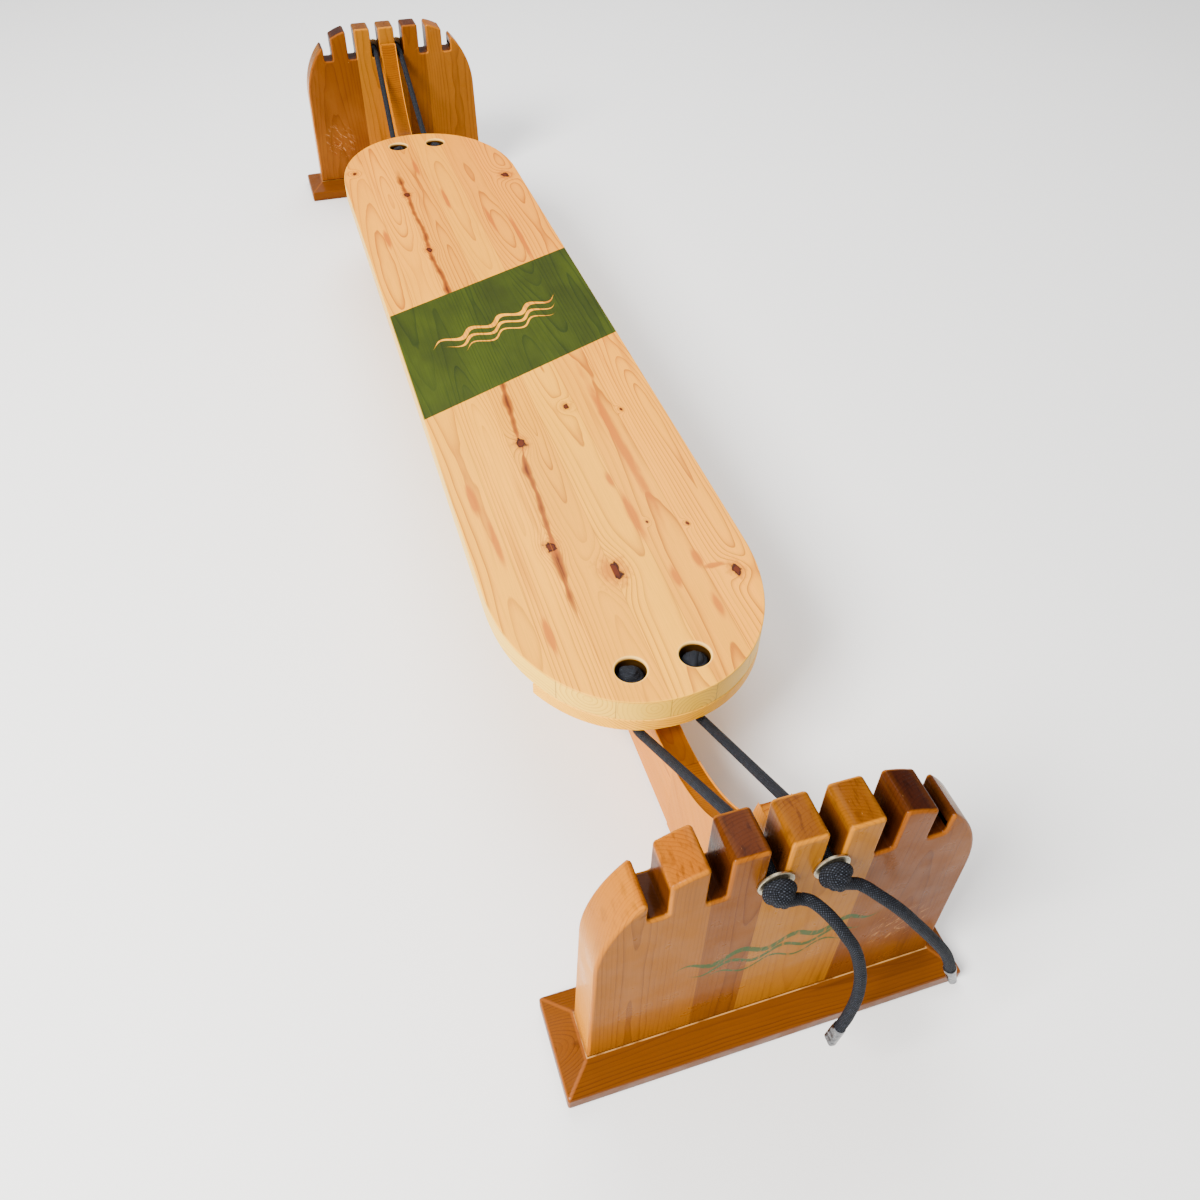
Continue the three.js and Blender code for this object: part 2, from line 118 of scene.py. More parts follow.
class Graph:
    """One material's node tree."""

    def __init__(self, name):
        self.material = bpy.data.materials.new(name)
        self.material.use_nodes = True
        self.tree = self.material.node_tree
        self.shader = self.tree.nodes["Principled BSDF"]
        place = self.tree.nodes.new("ShaderNodeTexCoord")
        self.uv = Value(self, place.outputs["UV"])
        self.place = Value(self, place.outputs["Object"])
        self.x, self.y, self.z = self.split(self.place)

    def put(self, socket, value):
        if isinstance(value, Value):
            self.tree.links.new(value.socket, socket)
        elif isinstance(value, (tuple, list)) and len(value) == 3 and socket.type == "RGBA":
            socket.default_value = (*value, 1)
        else:
            socket.default_value = value

    def math(self, kind, *values):
        node = self.tree.nodes.new("ShaderNodeMath")
        node.operation = kind
        for i, v in enumerate(values):
            self.put(node.inputs[i], v)
        return Value(self, node.outputs[0])

    def above(self, value, limit):
        """1 where a value is more than the limit, and 0 elsewhere."""
        return self.math("GREATER_THAN", value, limit)

    def most(self, a, b):
        return self.math("MAXIMUM", a, b)

    def least(self, a, b):
        return self.math("MINIMUM", a, b)

    def reach(self, a, b):
        """Length of the vector (a, b)."""
        return self.math("SQRT", a * a + b * b)

    def split(self, vector):
        node = self.tree.nodes.new("ShaderNodeSeparateXYZ")
        self.put(node.inputs[0], vector)
        return [Value(self, o) for o in node.outputs]

    def vector(self, *parts):
        node = self.tree.nodes.new("ShaderNodeCombineXYZ")
        for i, p in enumerate(parts):
            self.put(node.inputs[i], p)
        return Value(self, node.outputs[0])

    def noise(self, x, y, z, detail=2.0, rough=0.5, distortion=0.0):
        node = self.tree.nodes.new("ShaderNodeTexNoise")
        for key, v in (("Vector", self.vector(x, y, z)), ("Scale", 1.0), ("Detail", detail),
                       ("Roughness", rough), ("Distortion", distortion)):
            self.put(node.inputs[key], v)
        return Value(self, node.outputs[0])

    def cloud(self, scale, detail=2.0):
        """Even noise over the object."""
        return self.noise(self.x * scale, self.y * scale, self.z * scale, detail)

    def random(self, value):
        """Three random numbers that depend on a value."""
        node = self.tree.nodes.new("ShaderNodeTexWhiteNoise")
        node.noise_dimensions = "1D"
        self.put(node.inputs["W"], value)
        return self.split(Value(self, node.outputs["Color"]))

    def ramp(self, value, low, high, out_low=0.0, out_high=1.0):
        node = self.tree.nodes.new("ShaderNodeMapRange")
        node.interpolation_type = "SMOOTHSTEP"
        for i, v in enumerate((value, low, high, out_low, out_high)):
            self.put(node.inputs[i], v)
        return Value(self, node.outputs[0])

    def fall(self, value, low, high):
        """1 below low, 0 above high."""
        return self.ramp(value, low, high, 1.0, 0.0)

    def mix(self, fac, a, b, blend="MIX"):
        node = self.tree.nodes.new("ShaderNodeMix")
        node.data_type = "RGBA"
        node.blend_type = blend
        for i, v in ((0, fac), (6, a), (7, b)):
            self.put(node.inputs[i], v)
        return Value(self, node.outputs[2])

    def tinted(self, a, b, cover=1.0):
        """One colour multiplied by another, or by a plain number, as far as cover says."""
        return self.mix(cover, a, b, "MULTIPLY")

    def layered(self, colour, *coats):
        """Lays coats of (cover, colour) over a colour, one after another."""
        for cover, coat in coats:
            colour = self.mix(cover, colour, coat)
        return colour

    def attribute(self, name):
        node = self.tree.nodes.new("ShaderNodeAttribute")
        node.attribute_name = name
        return Value(self, node.outputs["Fac"])

    def bump(self, height, distance, strength=1.0, normal=None):
        node = self.tree.nodes.new("ShaderNodeBump")
        for key, v in (("Height", height), ("Distance", distance), ("Strength", strength)):
            self.put(node.inputs[key], v)
        if normal:
            self.put(node.inputs["Normal"], normal)
        return Value(self, node.outputs[0])

    def finish(self, colour, roughness, normal=None, **fixed):
        self.put(self.shader.inputs["Base Color"], colour)
        self.put(self.shader.inputs["Roughness"], roughness)
        if normal:
            self.put(self.shader.inputs["Normal"], normal)
        for key, v in fixed.items():
            self.shader.inputs[key.replace("_", " ").title().replace("Ior", "IOR")].default_value = v
        return self.material

    # shapes in the plane, used as masks

    def spot(self, x, y, cx, cy, rx, ry):
        """Distance from a point, 1 at an ellipse's rim."""
        dx, dy = (x - cx) / rx, (y - cy) / ry
        return self.reach(dx, dy)

    def window(self, value, low, high, soft):
        return self.ramp(value, low - soft, low + soft) * self.fall(value, high - soft, high + soft)


# ---- wood

def by_board(g, across, joints, values):
    """The value of whichever board a point is in."""
    out = values[0]
    for joint, value in zip(joints, values[1:]):
        out = g.mix(g.above(across, joint), out, value)
    return out


def wood(g, across, along, depth, early, late, spacing=0.0034, joints=(), half=0.15,
         seed=0.0, lift=0.0, contrast=1.0, sway=0.035, tone=0.12, resin=0.35):
    """Edge-glued boards sawn from round trunks: growth rings, fibres, resin and a tone for each board.
    Returns the colour, the latewood mask, the fibre noise and the glue lines."""
    edges = [-half, *joints, half]
    centres = [(a + b) / 2 for a, b in zip(edges, edges[1:])]
    index, centre = across * 0.0, across * 0.0 + centres[0]
    glue = across * 0.0
    for i, joint in enumerate(joints):
        past = g.above(across, joint)
        index = index + past
        centre = centre + past * (centres[i + 1] - centres[i])
        line = g.fall(abs(across - joint), 0.0001, 0.0007)
        glue = g.most(glue, line)
    r1, r2, r3 = g.random(index * 3.7 + seed)
    s = along + r1 * 4.0
    slow = g.noise(s * 1.9, index * 5.0 + 3.1, seed, detail=1.0) - 0.5
    slow2 = g.noise(s * 1.1 + 7.0, index * 5.0, seed, detail=1.0) - 0.5
    fine = g.noise(across * 22.0, s * 5.0, depth * 22.0 + seed, detail=3.0, rough=0.55) - 0.5
    u = across - centre + (r2 - 0.5) * 0.024 + slow2 * 0.03 + fine * 0.006
    v = depth + 0.01 + r3 * 0.03 + slow * (2 * sway) + fine * 0.006
    ring = g.reach(u, v) / spacing + lift
    phase = g.math("FRACT", ring)
    grain = (phase ** 5.0) * g.fall(phase, 0.95, 1.0)
    vary = g.noise(ring * 0.35, s * 0.8, seed, detail=0.0)
    grain = g.least(grain * g.ramp(vary, 0.3, 0.65, 0.35, 1.0) * (1.5 * contrast), contrast)
    fibre = g.noise(across * 800.0, along * 16.0, depth * 800.0, detail=2.0, rough=0.7)
    blotch = g.noise(across * 9.0, along * 2.2, depth * 9.0 + seed)
    colour = g.mix(grain, early, late)
    streak = g.noise(across * 70.0 + r1 * 20.0, s * 3.2, depth * 70.0)
    colour = g.mix(g.ramp(streak, 0.6, 0.76) * resin, colour, late)
    shade = 1.0 - tone / 2 + r2 * tone
    shade = shade * g.ramp(fibre, 0.25, 0.75, 0.93, 1.05) * g.ramp(blotch, 0.3, 0.7, 0.95, 1.04)
    colour = g.tinted(colour, shade)
    return colour, grain, fibre, glue


def lacquer(g, grain, fibre, depth=0.00012):
    """The skin of the lacquer: faint ridges over the grain, and a slow ripple."""
    ripple = g.cloud(26.0)
    skin = g.bump(grain * 0.6 + fibre * 0.25, depth)
    return g.bump(ripple, 0.0011, 0.35, skin)


def waves(g, u, v, length, pitch, height, widths, gaps):
    """A plain mark of wavy strokes, each as long as the last or shorter."""
    mask = u * 0.0
    for i, (w, gap) in enumerate(zip(widths, gaps)):
        reach = length * (0.5 - 0.07 * i)
        curve = g.math("SINE", (u + i * pitch * 0.18) * (math.tau / pitch)) * height + gap
        taper = g.fall(abs(u), reach * 0.55, reach)
        off = abs(v - curve)
        inside = (taper * w - off) * 1600.0
        mask = g.most(mask, g.least(g.most(inside, 0.0), 1.0))
    return mask


# knots in the deck as (x, y, radius), and resin patches as (x, y, half width, half length)
KNOTS = [(-0.045, -0.272, 0.0056), (-0.061, -0.464, 0.0052), (-0.006, -0.52, 0.0082), (0.122, -0.556, 0.0052),
         (0.124, 0.484, 0.0066), (-0.055, 0.452, 0.0052), (-0.056, 0.25, 0.0045), (0.03, -0.214, 0.0034),
         (0.096, -0.24, 0.002), (-0.128, 0.56, 0.0034), (0.055, -0.455, 0.0013), (0.098, -0.47, 0.0016)]
PATCHES = [(-0.126, -0.36, 0.0062, 0.034), (-0.117, -0.435, 0.0052, 0.052), (0.037, -0.372, 0.0055, 0.02),
           (0.043, -0.44, 0.007, 0.05), (0.054, -0.548, 0.0052, 0.02), (0.087, -0.527, 0.0058, 0.018),
           (0.1, -0.543, 0.015, 0.005), (-0.098, -0.59, 0.005, 0.03), (0.082, -0.6, 0.005, 0.024),
           (0.072, -0.3, 0.0075, 0.17), (-0.113, 0.3, 0.006, 0.035), (0.06, 0.33, 0.0045, 0.06),
           (0.005, 0.42, 0.004, 0.05), (0.092, 0.25, 0.005, 0.09), (-0.02, 0.56, 0.005, 0.04)]


def deck_material():
    g = Graph("deck_pine")
    x, y, z = g.x, g.y, g.z
    boards = (-0.109, -0.0605, -0.008, 0.042, 0.089)
    lift, dark, rim, halo, patch = (x * 0.0 for _ in range(5))
    for cx, cy, r in KNOTS:
        off = g.spot(x, y, cx, cy, r, r * 1.5)
        lift = lift + g.math("EXPONENT", off * off * -0.13) * 3.4
        off = off * (g.noise(x * 210.0, y * 130.0, cy * 9.0, detail=3.0) * 1.7 + 0.15)
        dark = g.most(dark, g.fall(off, 0.78, 1.0))
        rim = g.most(rim, g.window(off, 0.62, 1.0, 0.1))
        halo = g.most(halo, g.fall(off, 0.8, 2.6))
    # one of them was sawn through where two boards meet
    whole = g.most(g.above(x, boards[2]), g.above(abs(y + 0.52), 0.03))
    dark, rim = dark * whole, rim * whole
    colour, grain, fibre, glue = wood(
        g, x, y, z - DECK_TOP, (0.9, 0.37, 0.0005), (0.42, 0.11, 0.0005), spacing=0.0044,
        joints=boards, lift=lift, seed=2.3, sway=0.04, contrast=0.85)
    tones = [(1.0, 1.0, 1), (0.98, 0.97, 1), (0.9, 0.87, 1), (1.0, 1.03, 1), (0.93, 0.88, 1),
             (0.98, 0.91, 1)]
    colour = g.tinted(colour, by_board(g, x, boards, tones))
    # resin patches, long lens shapes along the grain
    for cx, cy, rx, ry in PATCHES:
        off = g.spot(x, y, cx, cy, rx, ry) + (g.noise(x * 120.0, y * 22.0, cy) - 0.5) * 0.9
        patch = g.most(patch, g.fall(off, 0.45, 1.1))
    colour = g.mix(patch * 0.9, colour, (0.48, 0.115, 0.0005))
    # the open seam of pith that runs beside the left knots
    wander = (g.noise(y * 11.0, 4.0, 0.0, detail=4.0) - 0.5) * 0.018
    near = g.least((y + 0.132) * 0.0627, 0.0) - 0.037
    line_x = near + g.ramp(y, -0.1, 0.1, 0.0, -0.018) + wander
    width = g.noise(y * 13.0, 9.0, 0.0)
    seam = abs(x - line_x) / (g.ramp(width, 0.36, 0.7, 0.0007, 0.0072))
    where = g.most(g.window(y, -0.57, -0.12, 0.03), g.window(y, 0.08, 0.53, 0.04))
    colour = g.layered(
        colour,
        (g.fall(seam, 0.6, 1.5) * where * 0.9, (0.26, 0.052, 0.001)),
        (g.fall(seam, 0.1, 0.6) * g.ramp(width, 0.44, 0.58) * where * 0.85, (0.07, 0.011, 0.002)),
        (halo * 0.65, (0.4, 0.09, 0.001)),
        (dark, (0.085, 0.014, 0.002)),
        (rim * 0.9, (0.022, 0.004, 0.001)),
        (glue * 0.5, (0.36, 0.1, 0.002)))
    # towards the far end the lacquer is deeper in tone
    colour = g.tinted(colour, (1.0, 0.78, 0.3), g.ramp(y, -0.35, 0.65, 0.0, 0.55))
    # the stained band, with a plain wave mark left bare
    slant = 0.433
    lean = math.atan(slant)
    edge_wobble = (g.noise(x * 160.0, y * 160.0, 0.0) - 0.5) * 0.0008
    band = y - x * slant + edge_wobble
    band = g.ramp(band, -0.1264, -0.1256) * g.fall(band, 0.1326, 0.1334)
    band = band * g.above(z, DECK_TOP - 0.0012)
    u, v = x * math.cos(lean) + y * math.sin(lean), y * math.cos(lean) - x * math.sin(lean)
    mark = waves(g, u, v, 0.235, 0.052, 0.0068, (0.0044, 0.0032, 0.002), (0.016, 0.0, -0.0155))
    mark = mark * g.ramp(fibre, 0.12, 0.35)
    stain = g.mix(grain, (0.03, 0.043, 0.0002), (0.013, 0.024, 0.0001))
    cloud = g.noise(x * 13.0, y * 6.0, 2.0, detail=3.0)
    stain = g.tinted(stain, g.ramp(cloud, 0.3, 0.7, 0.72, 1.25))
    stain = g.tinted(stain, g.ramp(fibre, 0.25, 0.75, 0.86, 1.12))
    colour = g.mix(band * (1.0 - mark), colour, stain)
    # pale rims round the rope holes, painted shade down the sink walls, and paler eased edges and sides,
    # the eased edges partly worn and partly given a painted highlight
    hx = abs(x) - HOLE_X
    hy = abs(y) - HOLE_Y
    from_hole = g.reach(hx, hy)
    bare = g.fall(from_hole, SINK_R + 0.0004, SINK_R + 0.0024) * g.above(z, DECK_TOP - 0.0035)
    # painted shade: the sink walls, floors and bores go near black, where the holes lie in shade
    inside = g.fall(from_hole, SINK_R, SINK_R + 0.0006)
    inside = inside * g.fall(z, DECK_TOP - 0.005, DECK_TOP - 0.001)
    edge_face = g.fall(z, DECK_TOP - 0.0018, DECK_TOP - 0.001) * g.ramp(from_hole, 0.022, 0.03)
    colour = g.layered(
        colour,
        (bare * 0.6, (0.95, 0.66, 0.26)),
        (inside * 0.97, (0.008, 0.004, 0.002)),
        (g.attribute("edge") * 0.4, (0.98, 0.56, 0.03)),
        (edge_face * 0.7, g.mix(grain, (0.98, 0.64, 0.045), (0.74, 0.33, 0.01))),
        (edge_face * glue * 0.7, (0.36, 0.14, 0.03)))
    rough = g.ramp(fibre, 0.2, 0.8, 0.3, 0.42) + dark * 0.15
    normal = lacquer(g, grain, fibre)
    return g.finish(colour, rough, normal, specular_ior_level=0.06, coat_weight=0.04, coat_roughness=0.1)


def plain_wood(name, axes, colours, coat=0.03, rough=(0.34, 0.48), top=None, **more):
    """A lacquered timber. axes gives the directions across, along and into the board at (x, y, z).
    colours are the earlywood's, the latewood's and the eased edges', which are paler partly with wear
    and partly as a painted highlight. top, where given, tints the top faces darker as painted shade."""
    g = Graph(name)
    early, late, edge = colours
    colour, grain, fibre, _ = wood(g, *axes(g.x, g.y, g.z), early, late, **more)
    # painted shade: where top is given, the top faces are tinted darker than the sides
    if top:
        colour = g.tinted(colour, top, g.attribute("top"))
    # eased edges paler, partly as wear and partly as a painted highlight
    colour = g.mix(g.attribute("edge") * 0.35, colour, edge)
    cavity = g.cloud(60.0, 3.0)
    colour = g.mix(g.ramp(cavity, 0.62, 0.78) * 0.16, colour, (0.12, 0.05, 0.02))
    normal = lacquer(g, grain, fibre)
    return g.finish(colour, g.ramp(fibre, 0.2, 0.8, *rough), normal, specular_ior_level=0.04,
                    coat_weight=coat, coat_roughness=0.09)


def upright_material():
    g = Graph("upright_wood")
    x, y, z = g.x, g.y, g.z
    turn = g.math("SIGN", y) * -1.0
    lx, ly = x * turn, abs(y) * -1.0
    boards = (-0.073, -0.03, 0.061)
    colour, grain, fibre, glue = wood(
        g, lx, z, ly + UP_OUTER, (0.235, 0.078, 0.004), (0.1, 0.026, 0.001), spacing=0.003,
        joints=boards, half=0.168, seed=6.1, sway=0.02, tone=0.0, resin=0.55, contrast=0.55)
    top_tints = [(1.15, 0.95, 0.5), (0.24, 0.15, 0.3), (0.58, 0.5, 0.2), (0.13, 0.07, 0.3)]
    face_tints = [(1.0, 1.0, 1.0), (0.68, 0.62, 0.9), (1.18, 1.3, 1.1), (0.6, 0.52, 0.8)]
    amber = g.tinted(colour, by_board(g, lx, boards, top_tints))
    colour = g.tinted(colour, by_board(g, lx, boards, face_tints))
    # the stain is warmer towards the foot, and wears through in small pale scratches
    colour = g.tinted(colour, (1.1, 1.0, 0.7), g.ramp(z, 0.18, 0.04, 0.0, 0.55))
    haze = g.noise(lx * 15.0, z * 9.0, ly * 15.0, detail=4.0)
    colour = g.mix(g.ramp(haze, 0.45, 0.75) * 0.2, colour, (0.33, 0.12, 0.01))
    top_face = g.attribute("top")
    rays = g.noise(lx * 300.0, ly * 70.0, z * 30.0, detail=3.0)
    amber = g.tinted(amber, (0.35, 0.28, 0.2), g.ramp(rays, 0.5, 0.72) * 0.6)
    colour = g.mix(top_face, colour, amber)
    # the two ends, bleached by handling
    bleached = g.mix(grain, (0.62, 0.225, 0.006), (0.38, 0.115, 0.002))
    colour = g.mix(g.attribute("flank") * 0.75, colour, bleached)
    # painted shade: the slot walls and bottoms are darkened where shade falls in the slots
    colour = g.tinted(colour, (0.22, 0.1, 0.12), g.attribute("slot") * 0.85)
    scratch = g.noise((lx + z) * 300.0, (lx - z) * 45.0, ly * 90.0 + 5.0, detail=4.0, distortion=0.6)
    near_slots = g.ramp(z, 0.19, 0.26)
    colour = g.mix(g.ramp(scratch, 0.72, 0.8) * near_slots * 0.5, colour, (0.66, 0.36, 0.1))
    # a scuffed place low on the right
    scuffed = g.fall(g.spot(lx, z, 0.118, 0.105, 0.04, 0.045), 0.3, 1.0) * (1.0 - top_face)
    marks = g.noise((lx + z) * 60.0, (lx - z) * 190.0, 3.0, detail=4.0, distortion=1.2)
    colour = g.layered(
        colour,
        (g.ramp(marks, 0.58, 0.68) * scuffed * 0.55, (0.55, 0.25, 0.08)),
        (g.ramp(marks, 0.42, 0.34) * scuffed * 0.6, (0.12, 0.018, 0.003)))
    # eased edges lightened, partly as wear and partly as a painted highlight
    colour = g.tinted(colour, (2.2, 2.1, 1.9), g.attribute("edge") * 0.45)
    front = g.fall(ly, -UP_OUTER + 0.0001, -UP_OUTER + 0.0006)
    mark = waves(g, lx + 0.002, z - 0.135, 0.205, 0.048, 0.0062, (0.0046, 0.0032, 0.002),
                 (0.0145, 0.0, -0.014))
    worn = g.noise(lx * 240.0, z * 70.0, 1.0, detail=3.0)
    mark = mark * front * g.ramp(worn, 0.34, 0.48, 0.25, 0.9)
    colour = g.mix(mark, colour, (0.018, 0.06, 0.01))
    colour = g.mix(glue * 0.35, colour, (0.1, 0.035, 0.012))
    dust = g.noise(lx * 34.0, ly * 34.0, z * 34.0, detail=4.0)
    rough = g.ramp(dust, 0.3, 0.7, 0.26, 0.44) - top_face * 0.08
    return g.finish(colour, rough, lacquer(g, grain, fibre, 0.00016), specular_ior_level=0.03,
                    coat_weight=0.05, coat_roughness=0.08)


def base_material():
    g = Graph("base_wood")
    x, y, z = g.x, g.y, g.z
    ay = abs(y)
    colour, grain, fibre, glue = wood(
        g, ay - UP_MID, x, z - 0.02, (0.125, 0.034, 0.001), (0.05, 0.011, 0.001), spacing=0.0026,
        half=0.05, seed=11.0, sway=0.012, contrast=0.65, resin=0.6)
    # a pale line of glue where the upright stands
    dx = abs(x) - UP_FOOT_HALF
    dy = abs(ay - UP_MID) - (UP_OUTER - UP_INNER) / 2
    off = g.most(dx, dy)
    line = g.fall(abs(off - 0.0002), 0.0003, 0.0009)
    broken = g.noise(x * 60.0, y * 60.0, 0.0, detail=3.0)
    colour = g.mix(line * g.ramp(broken, 0.35, 0.6, 0.15, 0.8), colour, (0.5, 0.26, 0.08))
    # eased edges paler, partly as wear and partly as a painted highlight
    colour = g.mix(g.attribute("edge") * 0.45, colour, (0.28, 0.08, 0.012))
    dust = g.cloud(40.0, 4.0)
    rough = g.ramp(dust, 0.3, 0.7, 0.28, 0.46)
    return g.finish(colour, rough, lacquer(g, grain, fibre, 0.00016), specular_ior_level=0.06,
                    coat_weight=0.06, coat_roughness=0.1)


def rope_material():
    """Braided cover: UV x counts strands round the rope and UV y counts picks along it."""
    g = Graph("rope_braid")
    u, v, _ = g.split(g.uv)
    a, b = u + v, u - v
    fa, fb = g.math("FRACT", a), g.math("FRACT", b)
    ia, ib = g.math("FLOOR", a), g.math("FLOOR", b)
    over = g.math("LESS_THAN", g.math("FRACT", (ia + ib) * 0.5), 0.25)
    across = fb + (fa - fb) * over
    threads = abs(g.math("SINE", across * (3 * math.pi)))
    pick = g.random(ia * 17.0 + ib * 5.3 + over * 2.0)[0]
    dim = g.math("SINE", fa * math.pi) * g.math("SINE", fb * math.pi)
    fuzz = g.cloud(900.0)
    # painted shade darkens the gaps between strands and the grooves between threads, and a painted highlight
    # lights the crown of each pick
    colour = g.layered(
        g.mix(g.ramp(dim, 0.0, 0.7), (0.0015, 0.0015, 0.002), (0.013, 0.0142, 0.019)),
        (g.ramp(pick, 0.35, 0.9, 0.25, 1.0) * g.ramp(dim, 0.5, 0.95), (0.06, 0.07, 0.092)),
        (g.ramp(threads, 0.1, 0.7, 0.35, 0.0), (0.004, 0.005, 0.006)),
        (g.ramp(fuzz, 0.62, 0.75) * 0.12, (0.03, 0.034, 0.04)))
    normal = g.bump(threads * 0.6 + dim * 0.4 + fuzz * 0.2, 0.0003, 0.8)
    return g.finish(colour, g.ramp(pick, 0.0, 1.0, 0.55, 0.72), normal, specular_ior_level=0.08)


def metal_material(name, colour, worn, rough, rings=False):
    g = Graph(name)
    x, y, z = g.x, g.y, g.z
    wear = g.cloud(420.0, 4.0)
    if rings:
        radius = g.reach(x, y)
        lines = g.noise(radius * 9000.0, z * 900.0, 0.0)
    else:
        lines = g.noise(x * 5000.0, y * 5000.0, z * 500.0)
    tone = g.mix(g.ramp(wear, 0.45, 0.72) * 0.6, colour, worn)
    tone = g.tinted(tone, g.ramp(lines, 0.3, 0.7, 0.86, 1.06))
    normal = g.bump(lines * 0.4 + wear * 0.6, 0.00006)
    return g.finish(tone, g.ramp(wear, 0.3, 0.7, rough, rough + 0.18), normal, metallic=1.0)


ORANGE_TIMBER = (0.6, 0.2, 0.0005), (0.3, 0.062, 0.0005), (0.8, 0.32, 0.02)
PINE = (0.94, 0.44, 0.004), (0.52, 0.16, 0.001), (0.98, 0.56, 0.04)
BEECH = (0.68, 0.48, 0.28), (0.55, 0.35, 0.18), (0.72, 0.52, 0.32)

# each look is a material and a slot name, which nothing here reads
DECK = deck_material(), "deck_pine"
UPRIGHT = upright_material(), "upright_wood"
BASE = base_material(), "base_wood"
# the beam's and knee's top tints are painted shade on their top faces
BEAM = plain_wood("beam_wood", lambda x, y, z: (x, y, z - BEAM_TOP), ORANGE_TIMBER, top=(0.36, 0.32, 0.6),
                  half=0.014, seed=4.4, sway=0.012, spacing=0.0036, contrast=0.8), "beam_wood"
KNEE = plain_wood("knee_wood", lambda x, y, z: (x, (z - abs(y)) * 0.707, (z + abs(y)) * 0.707 - 0.9),
                  ORANGE_TIMBER, top=(0.38, 0.33, 0.6), half=0.014, seed=8.2, sway=0.012, spacing=0.0034,
                  contrast=1.0), "beam_wood"
CLEAT = plain_wood("cleat_pine", lambda x, y, z: (abs(y) - 0.66, x, z - 0.14), PINE, coat=0.05, half=0.05,
                   seed=5.5, sway=0.004, spacing=0.0021, contrast=0.9), "cleat_pine"
DOWEL = plain_wood("dowel_beech", lambda x, y, z: (x, y, z), BEECH, coat=0.0, rough=(0.6, 0.8), half=0.01,
                   seed=1.7, spacing=0.0012), "dowel_beech"
ROPE = rope_material(), "rope"
WASHER = metal_material("washer_steel", (0.46, 0.41, 0.29), (0.24, 0.2, 0.13), 0.3, True), "washer_steel"
FERRULE = metal_material("ferrule_steel", (0.17, 0.175, 0.185), (0.05, 0.05, 0.055), 0.2), "ferrule_steel"
SCREW = metal_material("screw_steel", (0.76, 0.68, 0.42), (0.46, 0.4, 0.24), 0.24, True), "screw_steel"


# ---- mesh helpers

def mesh_from(bm, name):
    """Turns a bmesh into a mesh whose faces point out."""
    bmesh.ops.recalc_face_normals(bm, faces=bm.faces)
    mesh = bpy.data.meshes.new(name)
    bm.to_mesh(mesh)
    bm.free()
    return mesh


def add(name, mesh, look, node, smooth=40.0, weighted=True, matrix=None, blend=None):
    """Makes a piece that stands for a CAD node and rides on its body, or, when blend is given, is baked
    where it stands and rides on no body; the body, start and end in blend are not used."""
    obj = bpy.data.objects.new(name, mesh)
    scene.collection.objects.link(obj)
    material, slot = look
    if not mesh.materials:
        mesh.materials.append(material)
        mesh.polygons.foreach_set("use_smooth", [True] * len(mesh.polygons))
        mesh.set_sharp_from_angle(angle=math.radians(smooth))
    if weighted:
        mod = obj.modifiers.new("Weighted", "WEIGHTED_NORMAL")
        mod.keep_sharp = True
    if matrix is not None:
        obj.matrix_world = matrix
    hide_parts(node)
    if blend:
        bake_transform(obj)
    else:
        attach(obj, BODY[node])
    return obj


def around(count):
    """The angles of count even steps round a circle."""
    return [math.tau * i / count for i in range(count)]


def bridge(bm, a, b):
    """Faces between two rings of points, or from a ring to a single point."""
    count = max(len(a), len(b))
    for i in range(count):
        j = (i + 1) % count
        corners = a[i % len(a)], a[j % len(a)], b[j % len(b)], b[i % len(b)]
        bm.faces.new(list(dict.fromkeys(corners)))


def inset(loop, distance):
    """Moves a counter-clockwise outline inwards along its corners."""
    out = []
    n = len(loop)
    for i in range(n):
        a, b, c = Vector(loop[i - 1]), Vector(loop[i]), Vector(loop[(i + 1) % n])
        d1, d2 = (b - a).normalized(), (c - b).normalized()
        n1, n2 = Vector((-d1.y, d1.x)), Vector((-d2.y, d2.x))
        middle = (n1 + n2).normalized()
        out.append(tuple(b + middle * (distance / max(0.35, middle.dot(n1)))))
    return out


def slab(name, outline, low, high, ease, place, holes=(), tags=None):
    """A board cut to an outline, its edges eased. holes are (centre, rings, count), with the rings as
    (radius, w, wear) from the top down; wear marks eased edges, which the materials make paler, partly as
    wear and partly as a painted highlight. tags give named shades to points of the outline."""
    bm = bmesh.new()
    rounds = 3
    edge = bm.verts.layers.float.new("edge")
    layers = {name: bm.verts.layers.float.new(name) for name in (tags or {})}

    def ring(points, w, wear, wall):
        verts = []
        for i, (u, v) in enumerate(points):
            vert = bm.verts.new(place(u, v, w))
            vert[edge] = wear
            for name, layer in layers.items():
                vert[layer] = tags[name][i] if wall else 0.0
            verts.append(vert)
        return verts

    profile = []
    for k in range(rounds + 1):
        angle = math.pi / 2 * k / rounds
        off, rise = ease * (1 - math.sin(angle)), ease * (1 - math.cos(angle))
        profile.append((off, low + rise, 0 < k < rounds, k == rounds))
    profile += [(off, low + high - w, wear, wall) for off, w, wear, wall in reversed(profile)]
    rings = [ring(inset(outline, off), w, float(wear), wall) for off, w, wear, wall in profile]
    for a, b in zip(rings, rings[1:]):
        bridge(bm, a, b)
    caps = {"low": [rings[0]], "high": [rings[-1]]}
    for (cu, cv), steps, count in holes:
        loops = []
        for r, w, wear in steps:
            circle = [(cu + r * math.cos(angle), cv + r * math.sin(angle)) for angle in around(count)]
            loops.append(ring(circle, w, wear, False))
        for a, b in zip(loops, loops[1:]):
            bridge(bm, a, b)
        caps["high"].append(loops[0])
        caps["low"].append(loops[-1])
    for loops in caps.values():
        edges = [bm.edges.get(pair) for loop in loops for pair in zip(loop, loop[1:] + loop[:1])]
        bmesh.ops.triangle_fill(bm, edges=edges, use_beauty=True)
    return mesh_from(bm, name)


